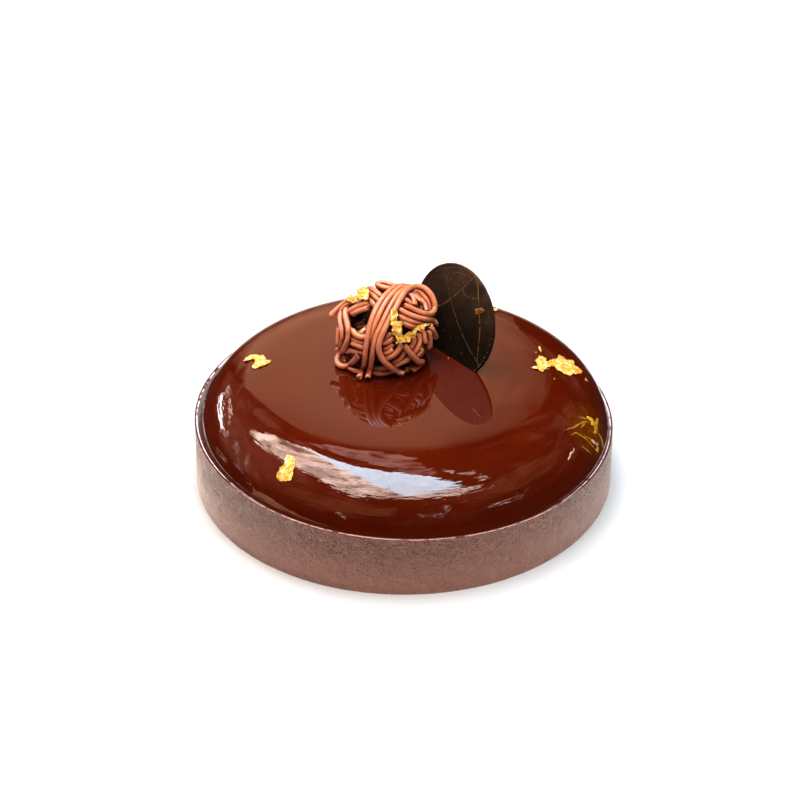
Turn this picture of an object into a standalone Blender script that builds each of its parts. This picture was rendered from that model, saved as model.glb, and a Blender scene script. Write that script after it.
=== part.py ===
"""Chocolate gateau: a low mousse cake under mirror glaze, wrapped in a chocolate band.

On its flat top stand a ball of piped chestnut-cream strands and a thin disc of dark
chocolate, and scraps of gold leaf lie on the glaze. Metres, +Z up, the origin at the
centre of the cake's underside, the front of the cake towards -Y.
"""

import math
import random

import bmesh
import bpy
from mathutils import Matrix, Vector, noise
from mathutils.geometry import tessellate_polygon

MM = 0.001
GAP = 0.35 * MM  # air left between two pieces that touch

# The band of chocolate round the side. Its top is cut a little lower on the right.
BAND_RADIUS = 90.0 * MM
BAND_THICKNESS = 1.3 * MM
BAND_HEIGHT = 27.9 * MM
BAND_SLOPE = 2.3 * MM
BAND_EDGE = 0.3 * MM
ROUND_STEPS = 72

# The glazed cake: upright inside the band, then a pillow-shaped dome with a flat top.
CAKE_RADIUS = BAND_RADIUS - BAND_THICKNESS - GAP
CAKE_SHOULDER = 25.0 * MM  # where the upright side ends and the dome begins
CAKE_TOP = 47.7 * MM
DOME_FLATNESS = 8.0  # a higher power keeps the top flat further out
DOME_ROUNDNESS = 1.62
DOME_RINGS = 13

# The dark chocolate disc, pushed into the glaze and leaning back.
DISC_RADIUS = 24.8 * MM
DISC_THICKNESS = 1.5 * MM
DISC_EDGE = 0.35 * MM
DISC_CENTRE = Vector((21.9, 21.4, 63.4)) * MM
DISC_TURN = math.radians(-49.8)  # the way its lower edge runs across the cake
DISC_LEAN = math.radians(14.4)

# The ball of piped strands.
STRAND_RADIUS = 1.35 * MM
BALL_RADIUS = 18.6 * MM  # to the middle of the strands of its inner layer
LAYER = 2.3 * MM  # how much further out the next layer of strands lies
BALL_HEIGHT = 12.0 * MM  # its centre above the glaze, which cuts it off below
BALL_CENTRE = Vector((-7.6 * MM, 18.5 * MM, CAKE_TOP + BALL_HEIGHT))
CORE_RADIUS = 17.7 * MM
DENT_DEPTH = 5.5 * MM
DRAWN_TILT = math.radians(35.0)  # the strands below are drawn as seen from this far above
STRAND_SPACING = 4.9 * MM
STRAND_SEED = 11

# Rings of strand round the ball, by latitude. They rise to the right.
RING_LATITUDES = range(-34, 21, 9)
RING_RISE = math.radians(9)
RING_WOBBLE = 0.6 * MM
BACK_LATITUDES = (30, 41, 52, 63)
BACK_SPAN = math.radians(200)

# The two places where the ball is seen to be open: right, up, and the opening's size.
WINDOWS = [(-11.2, 4.7, 6.0), (9.5, -0.6, 5.0)]

# Strands drawn on the ball's front, each station as (right, up, layers out) from its
# centre, in millimetres and layers: the sheaf, the curl, the belt, the hook at the left,
# the loop on top and the short ends.
DRAWN_STRANDS = [
    [
        (7.3, 19, 0.9), (4.2, 18.2, 1), (1.3, 16.3, 1.05), (-1.1, 13.3, 1.1), (-3.2, 10.1, 1.1),
        (-4.8, 6.8, 1.1), (-6.1, 3.2, 1.1), (-7.1, -0.6, 1.1), (-7.8, -4.5, 1.1), (-8.4, -8.7, 1.1),
        (-8.9, -13, 1), (-9.8, -16.8, 0.8), (-11, -19.7, 0.5), (-11.9, -20.7, 0.4),
    ],
    [
        (9.6, 18.9, 0.95), (6.4, 18.1, 1), (3.5, 15.8, 1.05), (1, 12.8, 1.05), (-1.3, 9.1, 1.05),
        (-3.2, 5, 1.05), (-4.7, 1.1, 1), (-5.7, -2.4, 0.85), (-6.1, -4.9, 0.5),
    ],
    [
        (11.7, 18.8, 0.9), (8.6, 17.9, 1), (5.6, 15.4, 1.05), (3.5, 12.4, 1.05), (1.5, 8.9, 1.05),
        (-0.4, 5, 1.05), (-2.2, 1.1, 1.05), (-3.8, -2.4, 1.05), (-4.8, -5.9, 1.05),
        (-5.5, -9.4, 1.05), (-6.1, -13, 1), (-6.9, -17.2, 0.8), (-7.8, -20.7, 0.6),
    ],
    [
        (7.3, -19.1, 0.5), (4.9, -17.7, 0.8), (2, -16, 1), (-0.6, -13.8, 1.1), (-2.4, -11.2, 1.1),
        (-3.2, -8, 1.1), (-2.6, -4.9, 1.1), (-1, -1, 1.1), (1, 2.9, 1.1), (2.7, 6.4, 1.1),
        (4.5, 9.9, 1.1), (6.3, 13.5, 1.15), (8, 16.1, 1.2), (10.5, 18.2, 1.2), (13.7, 19, 1.2),
        (16.8, 18, 1.1), (19.3, 15.2, 1.05), (20.6, 12.1, 1), (20.6, 9.2, 1), (19.3, 7.2, 1),
        (16.8, 6.6, 1), (13.3, 7.5, 0.95), (9.8, 9.1, 0.9), (7, 10.1, 0.8),
    ],
    [
        (10.9, 16.6, 0.7), (13.3, 16.9, 0.8), (15.8, 15.2, 0.8), (17.6, 12.8, 0.8),
        (18.6, 9.6, 0.7), (18.7, 7.8, 0.5),
    ],
    [(11.6, 15.2, 0.4), (13.7, 14.8, 0.5), (15.4, 12.8, 0.5), (16.6, 10.3, 0.5), (17.3, 8, 0.4)],
    [(10.1, 15.8, 0.2), (12.3, 14.5, 0.4), (13.7, 12.9, 0.5), (14.2, 11.5, 0.4)],
    [
        (5.7, 8.2, 0.7), (8, 6.9, 0.8), (10.5, 5.8, 0.9), (14, 4.8, 0.9), (17.2, 4.5, 0.8),
        (20, 4.7, 0.6),
    ],
    [(5.2, 5.4, 0.3), (8.4, 4, 0.4), (12.3, 2.8, 0.4), (15.4, 2.5, 0.3)],
    [
        (-14.7, 11.7, 0.9), (-17.2, 10.3, 1), (-19, 8.2, 1), (-19.6, 5.4, 1), (-19.2, 2.2, 1),
        (-18.5, -1, 1), (-18.6, -4.2, 1), (-19.8, -7, 1), (-21.2, -8.7, 0.9),
    ],
    [
        (-16.5, 9.6, 0.8), (-17.3, 7.5, 1), (-17.1, 4.7, 1), (-16.3, 1.5, 1), (-15.9, -1.7, 1),
        (-16.3, -4.5, 1), (-17.5, -7.3, 1), (-19.3, -9.4, 1), (-20.7, -11.2, 1), (-21.1, -13, 1),
        (-20.3, -14.7, 1), (-18.4, -15.8, 1), (-16.1, -15.1, 1.1), (-14, -13.5, 1.1),
        (-11.7, -11.2, 1.2),
    ],
    [(-7.1, 11.2, 0.5), (-9.9, 10.5, 0.7), (-13.1, 9.2, 0.7), (-15.4, 7.8, 0.5), (-16.5, 6.1, 0.2)],
    [(-6.8, 9.2, 0.3), (-9.2, 8.5, 0.4), (-12.1, 7.7, 0.4), (-14.5, 6.3, 0.2)],
    [(-7.5, 18.1, 0.4), (-5.7, 17.2, 0.8), (-3.6, 15.2, 0.8), (-1.3, 13.3, 0.3)],
    [(-7.6, 15.8, 0.3), (-5.7, 14.5, 0.6), (-3.6, 12.4, 0.5), (-2, 11, 0.2)],
    [
        (4.9, 18.3, 0.8), (1.7, 19.3, 1), (-0.4, 20.1, 1.1), (-2.4, 20.2, 1.1), (-3.7, 19.7, 1.1),
        (-3.2, 18.8, 0.9), (-1.1, 18, 0.8), (1.7, 17.4, 0.5),
    ],
    [(-15.9, 12.5, 0.8), (-17.7, 11.9, 1), (-20.9, 9.4, 1), (-24.3, 6.2, 1)],
    [
        (-14.3, -0.1, 0.5), (-13.3, -2, 0.7), (-11.3, -3.3, 0.7), (-9.1, -3.6, 0.5),
        (-6.4, -3.3, 0.1),
    ],
    [
        (-16.6, -8.9, 0.4), (-15.2, -8.7, 0.6), (-12.8, -9.4, 0.6), (-9.9, -9.8, 0.4),
        (-7.1, -9.4, 0.1),
    ],
    [(-5.7, -16.1, 0.1), (-2.2, -16.5, 0.2), (1.3, -15.8, 0.2)],
    [(-5.7, -18.2, 0.4), (-2.2, -18.8, 0.5), (1.7, -17.9, 0.5), (4.5, -16.5, 0.3)],
    [(-1.8, -8.7, 0), (0.6, -7.9, 0.2), (2.7, -6.3, 0.1)],
    [(-0.8, -12.5, 0.5), (1.7, -11.8, 0.7), (4.2, -10.2, 0.8), (5.9, -8, 0.8), (7, -6.3, 0.6)],
    [(3.1, -15.5, 0.5), (5.9, -14.4, 0.7), (8.4, -13.1, 0.7), (10.1, -11.6, 0.5)],
    [(7.7, -17.6, 0.3), (9.4, -16.9, 0.5), (11.6, -15.4, 0.5), (13.3, -13.8, 0.3)],
    [(7.7, -7, 0.8), (9.6, -9.4, 1), (11.9, -11.9, 1.1), (13.8, -13.5, 1.1), (15.4, -13.5, 1.1)],
    [(18.6, 1.8, 0.6), (19.7, 0.1, 0.9), (21.4, -2.9, 1)],
    [(15.8, -0.6, 0.5), (16, -3.1, 0.7), (16.7, -6.3, 0.9)],
    [(17.9, -0.3, 0.6), (18.6, -3.8, 0.7), (18.4, -7.7, 0.8)],
    [
        (13.5, -1.7, 0.2), (14.2, -4.5, 0.4), (13.5, -7.3, 0.5), (11.6, -9.8, 0.5),
        (10.1, -11.2, 0.3),
    ],
    [(12.3, -10.8, 0.5), (14, -10.1, 0.7), (15.3, -8, 0.7)],
]

# Gold leaf on the glaze, each torn outline as (right, back) in millimetres.
GLAZE_LEAVES = [
    [
        (-67.8, 15.6), (-66.2, 16.6), (-64.5, 15.4), (-64.1, 14.2), (-65.4, 9.8), (-64.3, 8.4),
        (-61.5, 9.2), (-58.4, 11.4), (-57.3, 13.9), (-59.3, 14.1), (-60.7, 19), (-61.4, 19.2),
        (-61.8, 17.9), (-63.6, 19.6), (-66.3, 20.4), (-69.2, 16.5),
    ],
    [
        (-49.5, -58.7), (-51.1, -59.2), (-51, -60.3), (-52.2, -61.7), (-50.5, -64.4),
        (-46.4, -65.7), (-45.5, -64.5), (-44.5, -58.9), (-44.9, -56.2), (-48.1, -54),
    ],
    [
        (56.6, 13.7), (57.4, 9.4), (54.3, 7.7), (57.5, 7), (59.6, 4.8), (61.4, 9.4), (64.1, 10.8),
        (66.1, 7.1), (71.1, 4.8), (72.5, 7.7), (73.9, 7.7), (76.3, 10.8), (76.9, 13.6),
        (75.2, 15.4), (73.8, 15.4), (73, 20), (70.2, 18.2), (67, 21), (66.3, 17.3), (62, 13.5),
        (61.2, 13.9), (60.8, 16.8), (58.5, 18.4),
    ],
    [
        (38.6, 57.4), (40.6, 56.2), (41.9, 57.6), (41.2, 59.6), (39.4, 59.2),
    ],
]
# Gold leaf on the strands, as (right, up) from the centre of the ball.
BALL_LEAVES = [
    [
        (-14.2, 10.9), (-9.1, 12.4), (-8.2, 11.9), (-6.9, 14.2), (-7.1, 15.9), (-7.5, 17),
        (-9.8, 18.2), (-12.4, 14.5), (-14.1, 13.8), (-14.1, 14.9), (-17.7, 12.9),
    ],
    [
        (1.7, 2.9), (3.1, 0.4), (2.4, -1), (2.7, -2.4), (3.8, -2.7), (4.5, -5), (3.8, -5.6),
        (4.5, -6.6), (7, -5.4), (10, -5.4), (10.3, -3.6), (11.2, -3.8), (12.3, -2.7), (13.3, -0.6),
        (15.3, -1), (16, 0.1), (16.1, 1.1), (18.8, 2.6), (13.7, 1.5), (7, -3.1), (6.4, -2.4),
        (6.6, 3.2), (4.3, 3.2), (4.5, 7.7), (1.9, 7.7),
    ],
]
BALL_LEAF_LAYERS = 1.65
LEAF_STAND = 0.45 * MM
LEAF_ROOT = 1.6 * MM


def clear_scene():
    for old in list(bpy.data.objects):
        bpy.data.objects.remove(old)


def new_collection(name):
    made = bpy.data.collections.new(name)
    bpy.context.scene.collection.children.link(made)
    return made


def make_material(name, colour, roughness, metallic=0.0):
    made = bpy.data.materials.new(name)
    made.use_nodes = True
    shader = made.node_tree.nodes["Principled BSDF"]
    shader.inputs["Base Color"].default_value = (*colour, 1.0)
    shader.inputs["Roughness"].default_value = roughness
    shader.inputs["Metallic"].default_value = metallic
    return made


def add_object(name, mesh, collection, material=None):
    made = bpy.data.objects.new(name, mesh)
    collection.objects.link(made)
    if material:
        made.data.materials.append(material)
    return made


def mesh_from(name, build):
    """A mesh that the function build fills by bmesh."""
    shape = bmesh.new()
    build(shape)
    mesh = bpy.data.meshes.new(name)
    shape.to_mesh(mesh)
    shape.free()
    return mesh


def evaluated_mesh(obj):
    bpy.context.view_layer.update()
    graph = bpy.context.evaluated_depsgraph_get()
    return bpy.data.meshes.new_from_object(obj.evaluated_get(graph))


def weld(mesh):
    """Joins the points that coincide, as at a tube's caps, and faces the mesh outwards."""
    shape = bmesh.new()
    shape.from_mesh(mesh)
    bmesh.ops.remove_doubles(shape, verts=shape.verts, dist=0.01 * MM)
    bmesh.ops.recalc_face_normals(shape, faces=shape.faces)
    shape.to_mesh(mesh)
    shape.free()


def apply_modifiers(obj):
    mesh = evaluated_mesh(obj)
    obj.modifiers.clear()
    obj.data = mesh


def turned(name, profile, collection, material=None):
    """A round solid: the profile of (radius, height) points turned about the Z axis."""

    def draw(shape):
        points = [shape.verts.new((radius, 0, height)) for radius, height in profile]
        for first, second in zip(points, points[1:]):
            shape.edges.new((first, second))

    made = add_object(name, mesh_from(name, draw), collection, material)
    screw = made.modifiers.new("Turn", "SCREW")
    screw.steps = ROUND_STEPS
    screw.render_steps = ROUND_STEPS
    screw.use_merge_vertices = True
    screw.merge_threshold = 0.00001
    apply_modifiers(made)
    weld(made.data)
    return made


def dome_height(radius):
    """The glaze's height at this distance from the axis."""
    share = min(radius / CAKE_RADIUS, 1.0)
    rise = (1 - share**DOME_FLATNESS) ** (1 / DOME_ROUNDNESS)
    return CAKE_SHOULDER + (CAKE_TOP - CAKE_SHOULDER) * rise


def dome_point(x, y, lift=0.0):
    """The point of the glaze above (x, y), moved out along its normal by lift."""
    radius = math.hypot(x, y)
    step = 0.05 * MM
    slope = (dome_height(radius + step) - dome_height(max(radius - step, 0))) / (2 * step)
    outward = Vector((x, y, 0)) / max(radius, step)
    normal = Vector((0, 0, 1)) - outward * slope
    return Vector((x, y, dome_height(radius))) + normal.normalized() * lift


def cake_profile():
    """From the top's centre out over the dome and down the side to the underside."""
    points = []
    for ring in range(DOME_RINGS + 1):
        angle = math.pi / 2 * ring / DOME_RINGS
        radius = CAKE_RADIUS * math.sin(angle) ** (2 / DOME_FLATNESS)
        points.append((radius, dome_height(radius)))
    points[-1] = (CAKE_RADIUS, CAKE_SHOULDER)
    return points + [(CAKE_RADIUS, 0), (0, 0)]


def leaf_mesh(number, lay, outline):
    """One torn scrap of gold leaf, laid by lay(x, y, lift) on what is below it."""

    def build(shape):
        corners = []
        for x, y in outline:
            crease = LEAF_STAND * (1 + 0.5 * noise.noise(Vector((0.5 * x, 0.5 * y, number))))
            corners.append(shape.verts.new(lay(x, y, crease)))
        for a, b, c in tessellate_polygon([[Vector((x, y, 0)) for x, y in outline]]):
            sides = Vector(outline[b]) - Vector(outline[a]), Vector(outline[c]) - Vector(outline[a])
            outwards = sides[0].cross(sides[1]) > 0
            shape.faces.new([corners[k] for k in ((a, b, c) if outwards else (a, c, b))])

    return mesh_from(f"leaf_{number}", build)


def make_leaves(leaves, lay, collection):
    for number, outline in enumerate(leaves):
        scrap = add_object(f"leaf_{number}", leaf_mesh(number, lay, outline), collection)
        root = scrap.modifiers.new("Root", "SOLIDIFY")
        root.thickness = LEAF_ROOT
        root.offset = -1
        apply_modifiers(scrap)


def disc_frame():
    """The disc's own axes: along its lower edge, across its thickness and up its face."""
    along = Vector((math.cos(DISC_TURN), math.sin(DISC_TURN), 0))
    across = Vector((0, 0, 1)).cross(along)
    upward = Vector((0, 0, 1)) * math.cos(DISC_LEAN) + across * math.sin(DISC_LEAN)
    normal = along.cross(upward)
    frame = Matrix((along, upward, normal)).transposed().to_4x4()
    frame.translation = DISC_CENTRE
    return frame


def round_plate(name, radius, thickness, collection, material=None):
    def build(shape):
        bmesh.ops.create_cone(
            shape, cap_ends=True, segments=48, radius1=radius, radius2=radius, depth=thickness
        )

    plate = add_object(name, mesh_from(name, build), collection, material)
    plate.matrix_world = disc_frame()
    return plate


def make_disc(parts, cutters, material):
    disc = round_plate("chocolate_disc", DISC_RADIUS, DISC_THICKNESS, parts, material)
    edge = disc.modifiers.new("Edge", "BEVEL")
    edge.width = DISC_EDGE
    edge.segments = 1
    edge.limit_method = "ANGLE"
    slot = round_plate("disc_slot", DISC_RADIUS + GAP, DISC_THICKNESS + 2 * GAP, cutters)
    slot.hide_render = True
    slot.display_type = "WIRE"
    return slot


def join_collection(target, collection, solver):
    """Fuses the collection's solids with the target, and removes them."""
    union = target.modifiers.new("Join", "BOOLEAN")
    union.operation = "UNION"
    union.operand_type = "COLLECTION"
    union.collection = collection
    union.solver = solver
    apply_modifiers(target)
    for piece in list(collection.objects):
        bpy.data.objects.remove(piece)
    bpy.data.collections.remove(collection)


def make_cake(parts, slot, material):
    cake = turned("glazed_cake", cake_profile(), parts, material)
    leaves = new_collection("gold_leaf")
    make_leaves(GLAZE_LEAVES, lambda x, y, lift: dome_point(x * MM, y * MM, lift), leaves)
    join_collection(cake, leaves, "MANIFOLD")
    cut = cake.modifiers.new("Disc slot", "BOOLEAN")
    cut.operation = "DIFFERENCE"
    cut.object = slot
    cut.solver = "MANIFOLD"
    cake.data.shade_smooth()
    cake.data.set_sharp_from_angle(angle=math.radians(40))


def make_band(parts, material):
    inner = BAND_RADIUS - BAND_THICKNESS
    profile = [
        (inner, 0),
        (inner, BAND_HEIGHT - BAND_EDGE),
        (inner + BAND_EDGE, BAND_HEIGHT),
        (BAND_RADIUS - BAND_EDGE, BAND_HEIGHT),
        (BAND_RADIUS, BAND_HEIGHT - BAND_EDGE),
        (BAND_RADIUS, 0),
        (inner, 0),
    ]
    band = turned("chocolate_band", profile, parts, material)
    for vertex in band.data.vertices:
        if vertex.co.z > BAND_HEIGHT / 2:
            vertex.co.z -= BAND_SLOPE * vertex.co.x / BAND_RADIUS
    band.data.shade_smooth()
    band.data.set_sharp_from_angle(angle=math.radians(30))


def smooth_path(stations, spacing):
    """Points at an even spacing along a smooth curve through the stations."""
    ends = [stations[0] * 2 - stations[1], *stations, stations[-1] * 2 - stations[-2]]
    fine = []
    for before, start, end, after in zip(ends, ends[1:], ends[2:], ends[3:]):
        for step in range(12):
            t = step / 12
            fine.append(
                0.5
                * (
                    2 * start
                    + (end - before) * t
                    + (2 * before - 5 * start + 4 * end - after) * t**2
                    + (3 * start - before - 3 * end + after) * t**3
                )
            )
    fine.append(stations[-1])
    length = sum((second - first).length for first, second in zip(fine, fine[1:]))
    count = max(2, round(length / spacing))
    even, travelled = [fine[0]], 0.0
    for first, second in zip(fine, fine[1:]):
        piece = (second - first).length
        while len(even) < count and travelled + piece >= length * len(even) / count:
            share = (length * len(even) / count - travelled) / piece
            even.append(first.lerp(second, share))
        travelled += piece
    return even + [fine[-1]]


def on_ball(right, up, layers):
    """A station drawn on the ball's front, in millimetres, as a point from the ball's centre."""
    radius = BALL_RADIUS + layers * LAYER
    tilt_up = Vector((0, math.sin(DRAWN_TILT), math.cos(DRAWN_TILT)))
    to_viewer = Vector((0, -math.cos(DRAWN_TILT), math.sin(DRAWN_TILT)))
    flat = Vector((right * MM, 0, 0)) + tilt_up * up * MM
    lowest = GAP + STRAND_RADIUS - BALL_HEIGHT
    resting = (lowest - flat.z) / to_viewer.z
    depth = math.sqrt(max(radius**2 - flat.length_squared, 0))
    return flat + to_viewer * max(depth, resting)


def leaf_on_ball(right, up, lift):
    point = on_ball(right, up, BALL_LEAF_LAYERS)
    return BALL_CENTRE + point + point.normalized() * lift


def ring(latitude, start, end, draw):
    """A strand round the ball at this latitude in degrees, between two turns in radians."""
    height = math.sin(math.radians(latitude))
    width = math.cos(math.radians(latitude))
    phase = draw.uniform(0, math.tau)
    stations = []
    count = 14
    for step in range(count + 1):
        turn = start + (end - start) * step / count
        wobble = RING_WOBBLE * math.sin(3 * turn + phase)
        rise = RING_RISE * math.cos(turn) * width
        direction = Vector((math.cos(turn) * width, math.sin(turn) * width, height + rise))
        point = direction.normalized() * (BALL_RADIUS + wobble)
        point.z = max(point.z, GAP + STRAND_RADIUS - BALL_HEIGHT)
        stations.append(point)
    return stations


def all_strands():
    """Every strand of the ball, as its stations from the ball's centre."""
    draw = random.Random(STRAND_SEED)
    strands = []
    for latitude in RING_LATITUDES:
        start = draw.uniform(0, math.tau)
        strands.append(ring(latitude, start, start + math.radians(352), draw))
    for latitude in BACK_LATITUDES:
        middle = math.pi / 2 + draw.uniform(-0.2, 0.2)
        strands.append(ring(latitude, middle - BACK_SPAN / 2, middle + BACK_SPAN / 2, draw))
    for stations in DRAWN_STRANDS:
        strands.append([on_ball(*station) for station in stations])
    return strands


def strand_object(number, stations, collection):
    curve = bpy.data.curves.new(f"strand_{number}", "CURVE")
    curve.dimensions = "3D"
    curve.bevel_depth = STRAND_RADIUS
    curve.bevel_resolution = 1
    curve.use_fill_caps = True
    path = smooth_path(stations, STRAND_SPACING)
    line = curve.splines.new("POLY")
    line.points.add(len(path) - 1)
    for point, place in zip(line.points, path):
        point.co = (*(BALL_CENTRE + place), 1)
    guide = bpy.data.objects.new(f"strand_guide_{number}", curve)
    collection.objects.link(guide)
    mesh = evaluated_mesh(guide)
    weld(mesh)
    bpy.data.objects.remove(guide)
    add_object(f"strand_{number}", mesh, collection)


def keep_outer_shell(mesh):
    """Drops the sealed hollows between strands, and any scrap that joins nothing."""
    shape = bmesh.new()
    shape.from_mesh(mesh)
    shape.faces.ensure_lookup_table()
    unseen = set(shape.faces)
    shells = []
    while unseen:
        edge_of_search = [unseen.pop()]
        shell = []
        while edge_of_search:
            face = edge_of_search.pop()
            shell.append(face)
            near = {other for edge in face.edges for other in edge.link_faces}
            edge_of_search += near & unseen
            unseen -= near
        shells.append(shell)
    shells.sort(key=len, reverse=True)
    for shell in shells[1:]:
        bmesh.ops.delete(shape, geom=shell, context="FACES")
    shape.to_mesh(mesh)
    shape.free()


def make_nest(parts, material):
    def core(shape):
        bmesh.ops.create_uvsphere(shape, u_segments=24, v_segments=16, radius=CORE_RADIUS)
        for vertex in shape.verts:
            for right, up, size in WINDOWS:
                share = (vertex.co - on_ball(right, up, 0)).length / (size * MM)
                if share < 1:
                    vertex.co *= 1 - DENT_DEPTH / CORE_RADIUS * (1 - share**3)
            vertex.co.z = max(vertex.co.z, GAP - BALL_HEIGHT)

    nest = add_object("strand_nest", mesh_from("strand_nest", core), parts, material)
    nest.location = BALL_CENTRE
    strands = new_collection("strands")
    for number, stations in enumerate(all_strands()):
        strand_object(number, stations, strands)
    make_leaves(BALL_LEAVES, leaf_on_ball, strands)
    join_collection(nest, strands, "MANIFOLD")
    keep_outer_shell(nest.data)
    nest.data.shade_smooth()
    nest.data.set_sharp_from_angle(angle=math.radians(60))


def main():
    clear_scene()
    parts = new_collection("chocolate_gateau")
    cutters = new_collection("cutters")
    glaze = make_material("mirror_glaze", (0.115, 0.022, 0.008), 0.06)
    band = make_material("band_chocolate", (0.24, 0.115, 0.08), 0.5)
    dark = make_material("dark_chocolate", (0.02, 0.012, 0.008), 0.4)
    cream = make_material("chestnut_cream", (0.44, 0.19, 0.12), 0.45)
    slot = make_disc(parts, cutters, dark)
    make_cake(parts, slot, glaze)
    make_band(parts, band)
    make_nest(parts, cream)


main()
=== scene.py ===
# %% [markdown]
# # A chocolate gateau under mirror glaze
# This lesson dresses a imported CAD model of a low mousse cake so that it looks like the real
# one. The real cake is a frozen dome of mousse with warm chocolate glaze poured over it, a
# strip of chocolate wrapped round its side, a hollow ball of piped chestnut cream, a thin
# disc of dark chocolate and scraps of gold leaf. The CAD model gives every place and size,
# in metres, so the first cell loads it and nothing has to be fitted afterwards.

import math
import random

import bmesh
import bpy
import numpy as np
from mathutils import Matrix, Vector, noise
from mathutils.geometry import delaunay_2d_cdt
from mathutils.kdtree import KDTree


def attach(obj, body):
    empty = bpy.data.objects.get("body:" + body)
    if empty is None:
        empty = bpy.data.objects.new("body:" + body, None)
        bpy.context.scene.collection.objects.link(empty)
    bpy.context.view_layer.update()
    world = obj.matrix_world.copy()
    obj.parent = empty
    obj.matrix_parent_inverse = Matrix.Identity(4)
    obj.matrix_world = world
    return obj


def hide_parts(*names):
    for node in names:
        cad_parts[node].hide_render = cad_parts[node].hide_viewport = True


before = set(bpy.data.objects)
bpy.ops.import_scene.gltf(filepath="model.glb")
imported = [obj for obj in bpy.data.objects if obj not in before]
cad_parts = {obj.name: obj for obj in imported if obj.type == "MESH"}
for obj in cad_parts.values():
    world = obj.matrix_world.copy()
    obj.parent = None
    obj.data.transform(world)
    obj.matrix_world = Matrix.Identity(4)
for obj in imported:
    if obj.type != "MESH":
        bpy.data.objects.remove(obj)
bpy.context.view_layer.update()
MM = 0.001

# %% [markdown]
# ## The camera
# The cake is seen from the front and 35 degrees above, from far enough away that its round
# outline is nearly an ellipse. A long lens at 1.24 m gives that flat look. The place and the
# lens follow from the outline of the band, which is a true circle on the real cake.

# %% Place the camera
bpy.context.scene.view_settings.view_transform = "Standard"
lens = bpy.data.cameras.new("camera")
lens.lens = 129.87
lens.sensor_width = 36
camera = bpy.data.objects.new("camera", lens)
camera.location = (0, -1.0321, 0.7227)
aim = Vector((-0.00166, 0, 0.03625))
camera.rotation_euler = (aim - camera.location).to_track_quat("-Z", "Y").to_euler()
bpy.context.collection.objects.link(camera)
bpy.context.scene.camera = camera
print("camera is", round((aim - camera.location).length, 3), "m from the cake")

# %% [markdown]
# ## Helpers for the pieces
# Almost every piece below is a mesh made by a small function, so the first helpers turn
# points and faces into a mesh, and a mesh into an object that rides on the cake. Most of the
# pieces are round, so a circle of points and the faces between two circles have helpers too.


# %% Write the helpers for the pieces
def link(name, mesh, material, smooth=True):
    made = bpy.data.objects.new(name, mesh)
    bpy.context.collection.objects.link(made)
    mesh.materials.append(material)
    mesh.polygons.foreach_set("use_smooth", [smooth] * len(mesh.polygons))
    print(name, len(mesh.polygons), "faces")
    return made


def piece(name, mesh, material, smooth=True):
    made = link(name, mesh, material, smooth)
    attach(made, "root")
    return made


def hide(made, *rays):
    """Hides an object from kinds of light ray: camera, glossy, diffuse or shadow."""
    for ray in rays:
        setattr(made, f"visible_{ray}", False)


def edit(mesh, change):
    """Lets a function work on the points and faces of a mesh."""
    shape = bmesh.new()
    shape.from_mesh(mesh)
    change(shape)
    shape.to_mesh(mesh)
    shape.free()
    return mesh


def mesh_of(name, points, faces):
    mesh = bpy.data.meshes.new(name)
    mesh.from_pydata([tuple(p) for p in points], [], faces)
    return edit(mesh, lambda shape: bmesh.ops.recalc_face_normals(shape, faces=shape.faces))


def circle(count):
    """The cosine and sine of even steps round a circle."""
    angles = [math.tau * k / count for k in range(count)]
    return [(math.cos(angle), math.sin(angle)) for angle in angles]


def between(first, second, count):
    """Faces between two rings of points, which start at the numbers first and second."""
    after = [(k + 1) % count for k in range(count)]
    return [(first + k, first + after[k], second + after[k], second + k) for k in range(count)]


# %% [markdown]
# ## Helpers for the finishes
# A finish is a Principled shader with plain values, which can then be changed from place to
# place. A node adds to it, and short names for the sums, the noise, the ramp of colours and
# the mix of two colours keep the recipes readable. No food has one flat colour.


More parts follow.
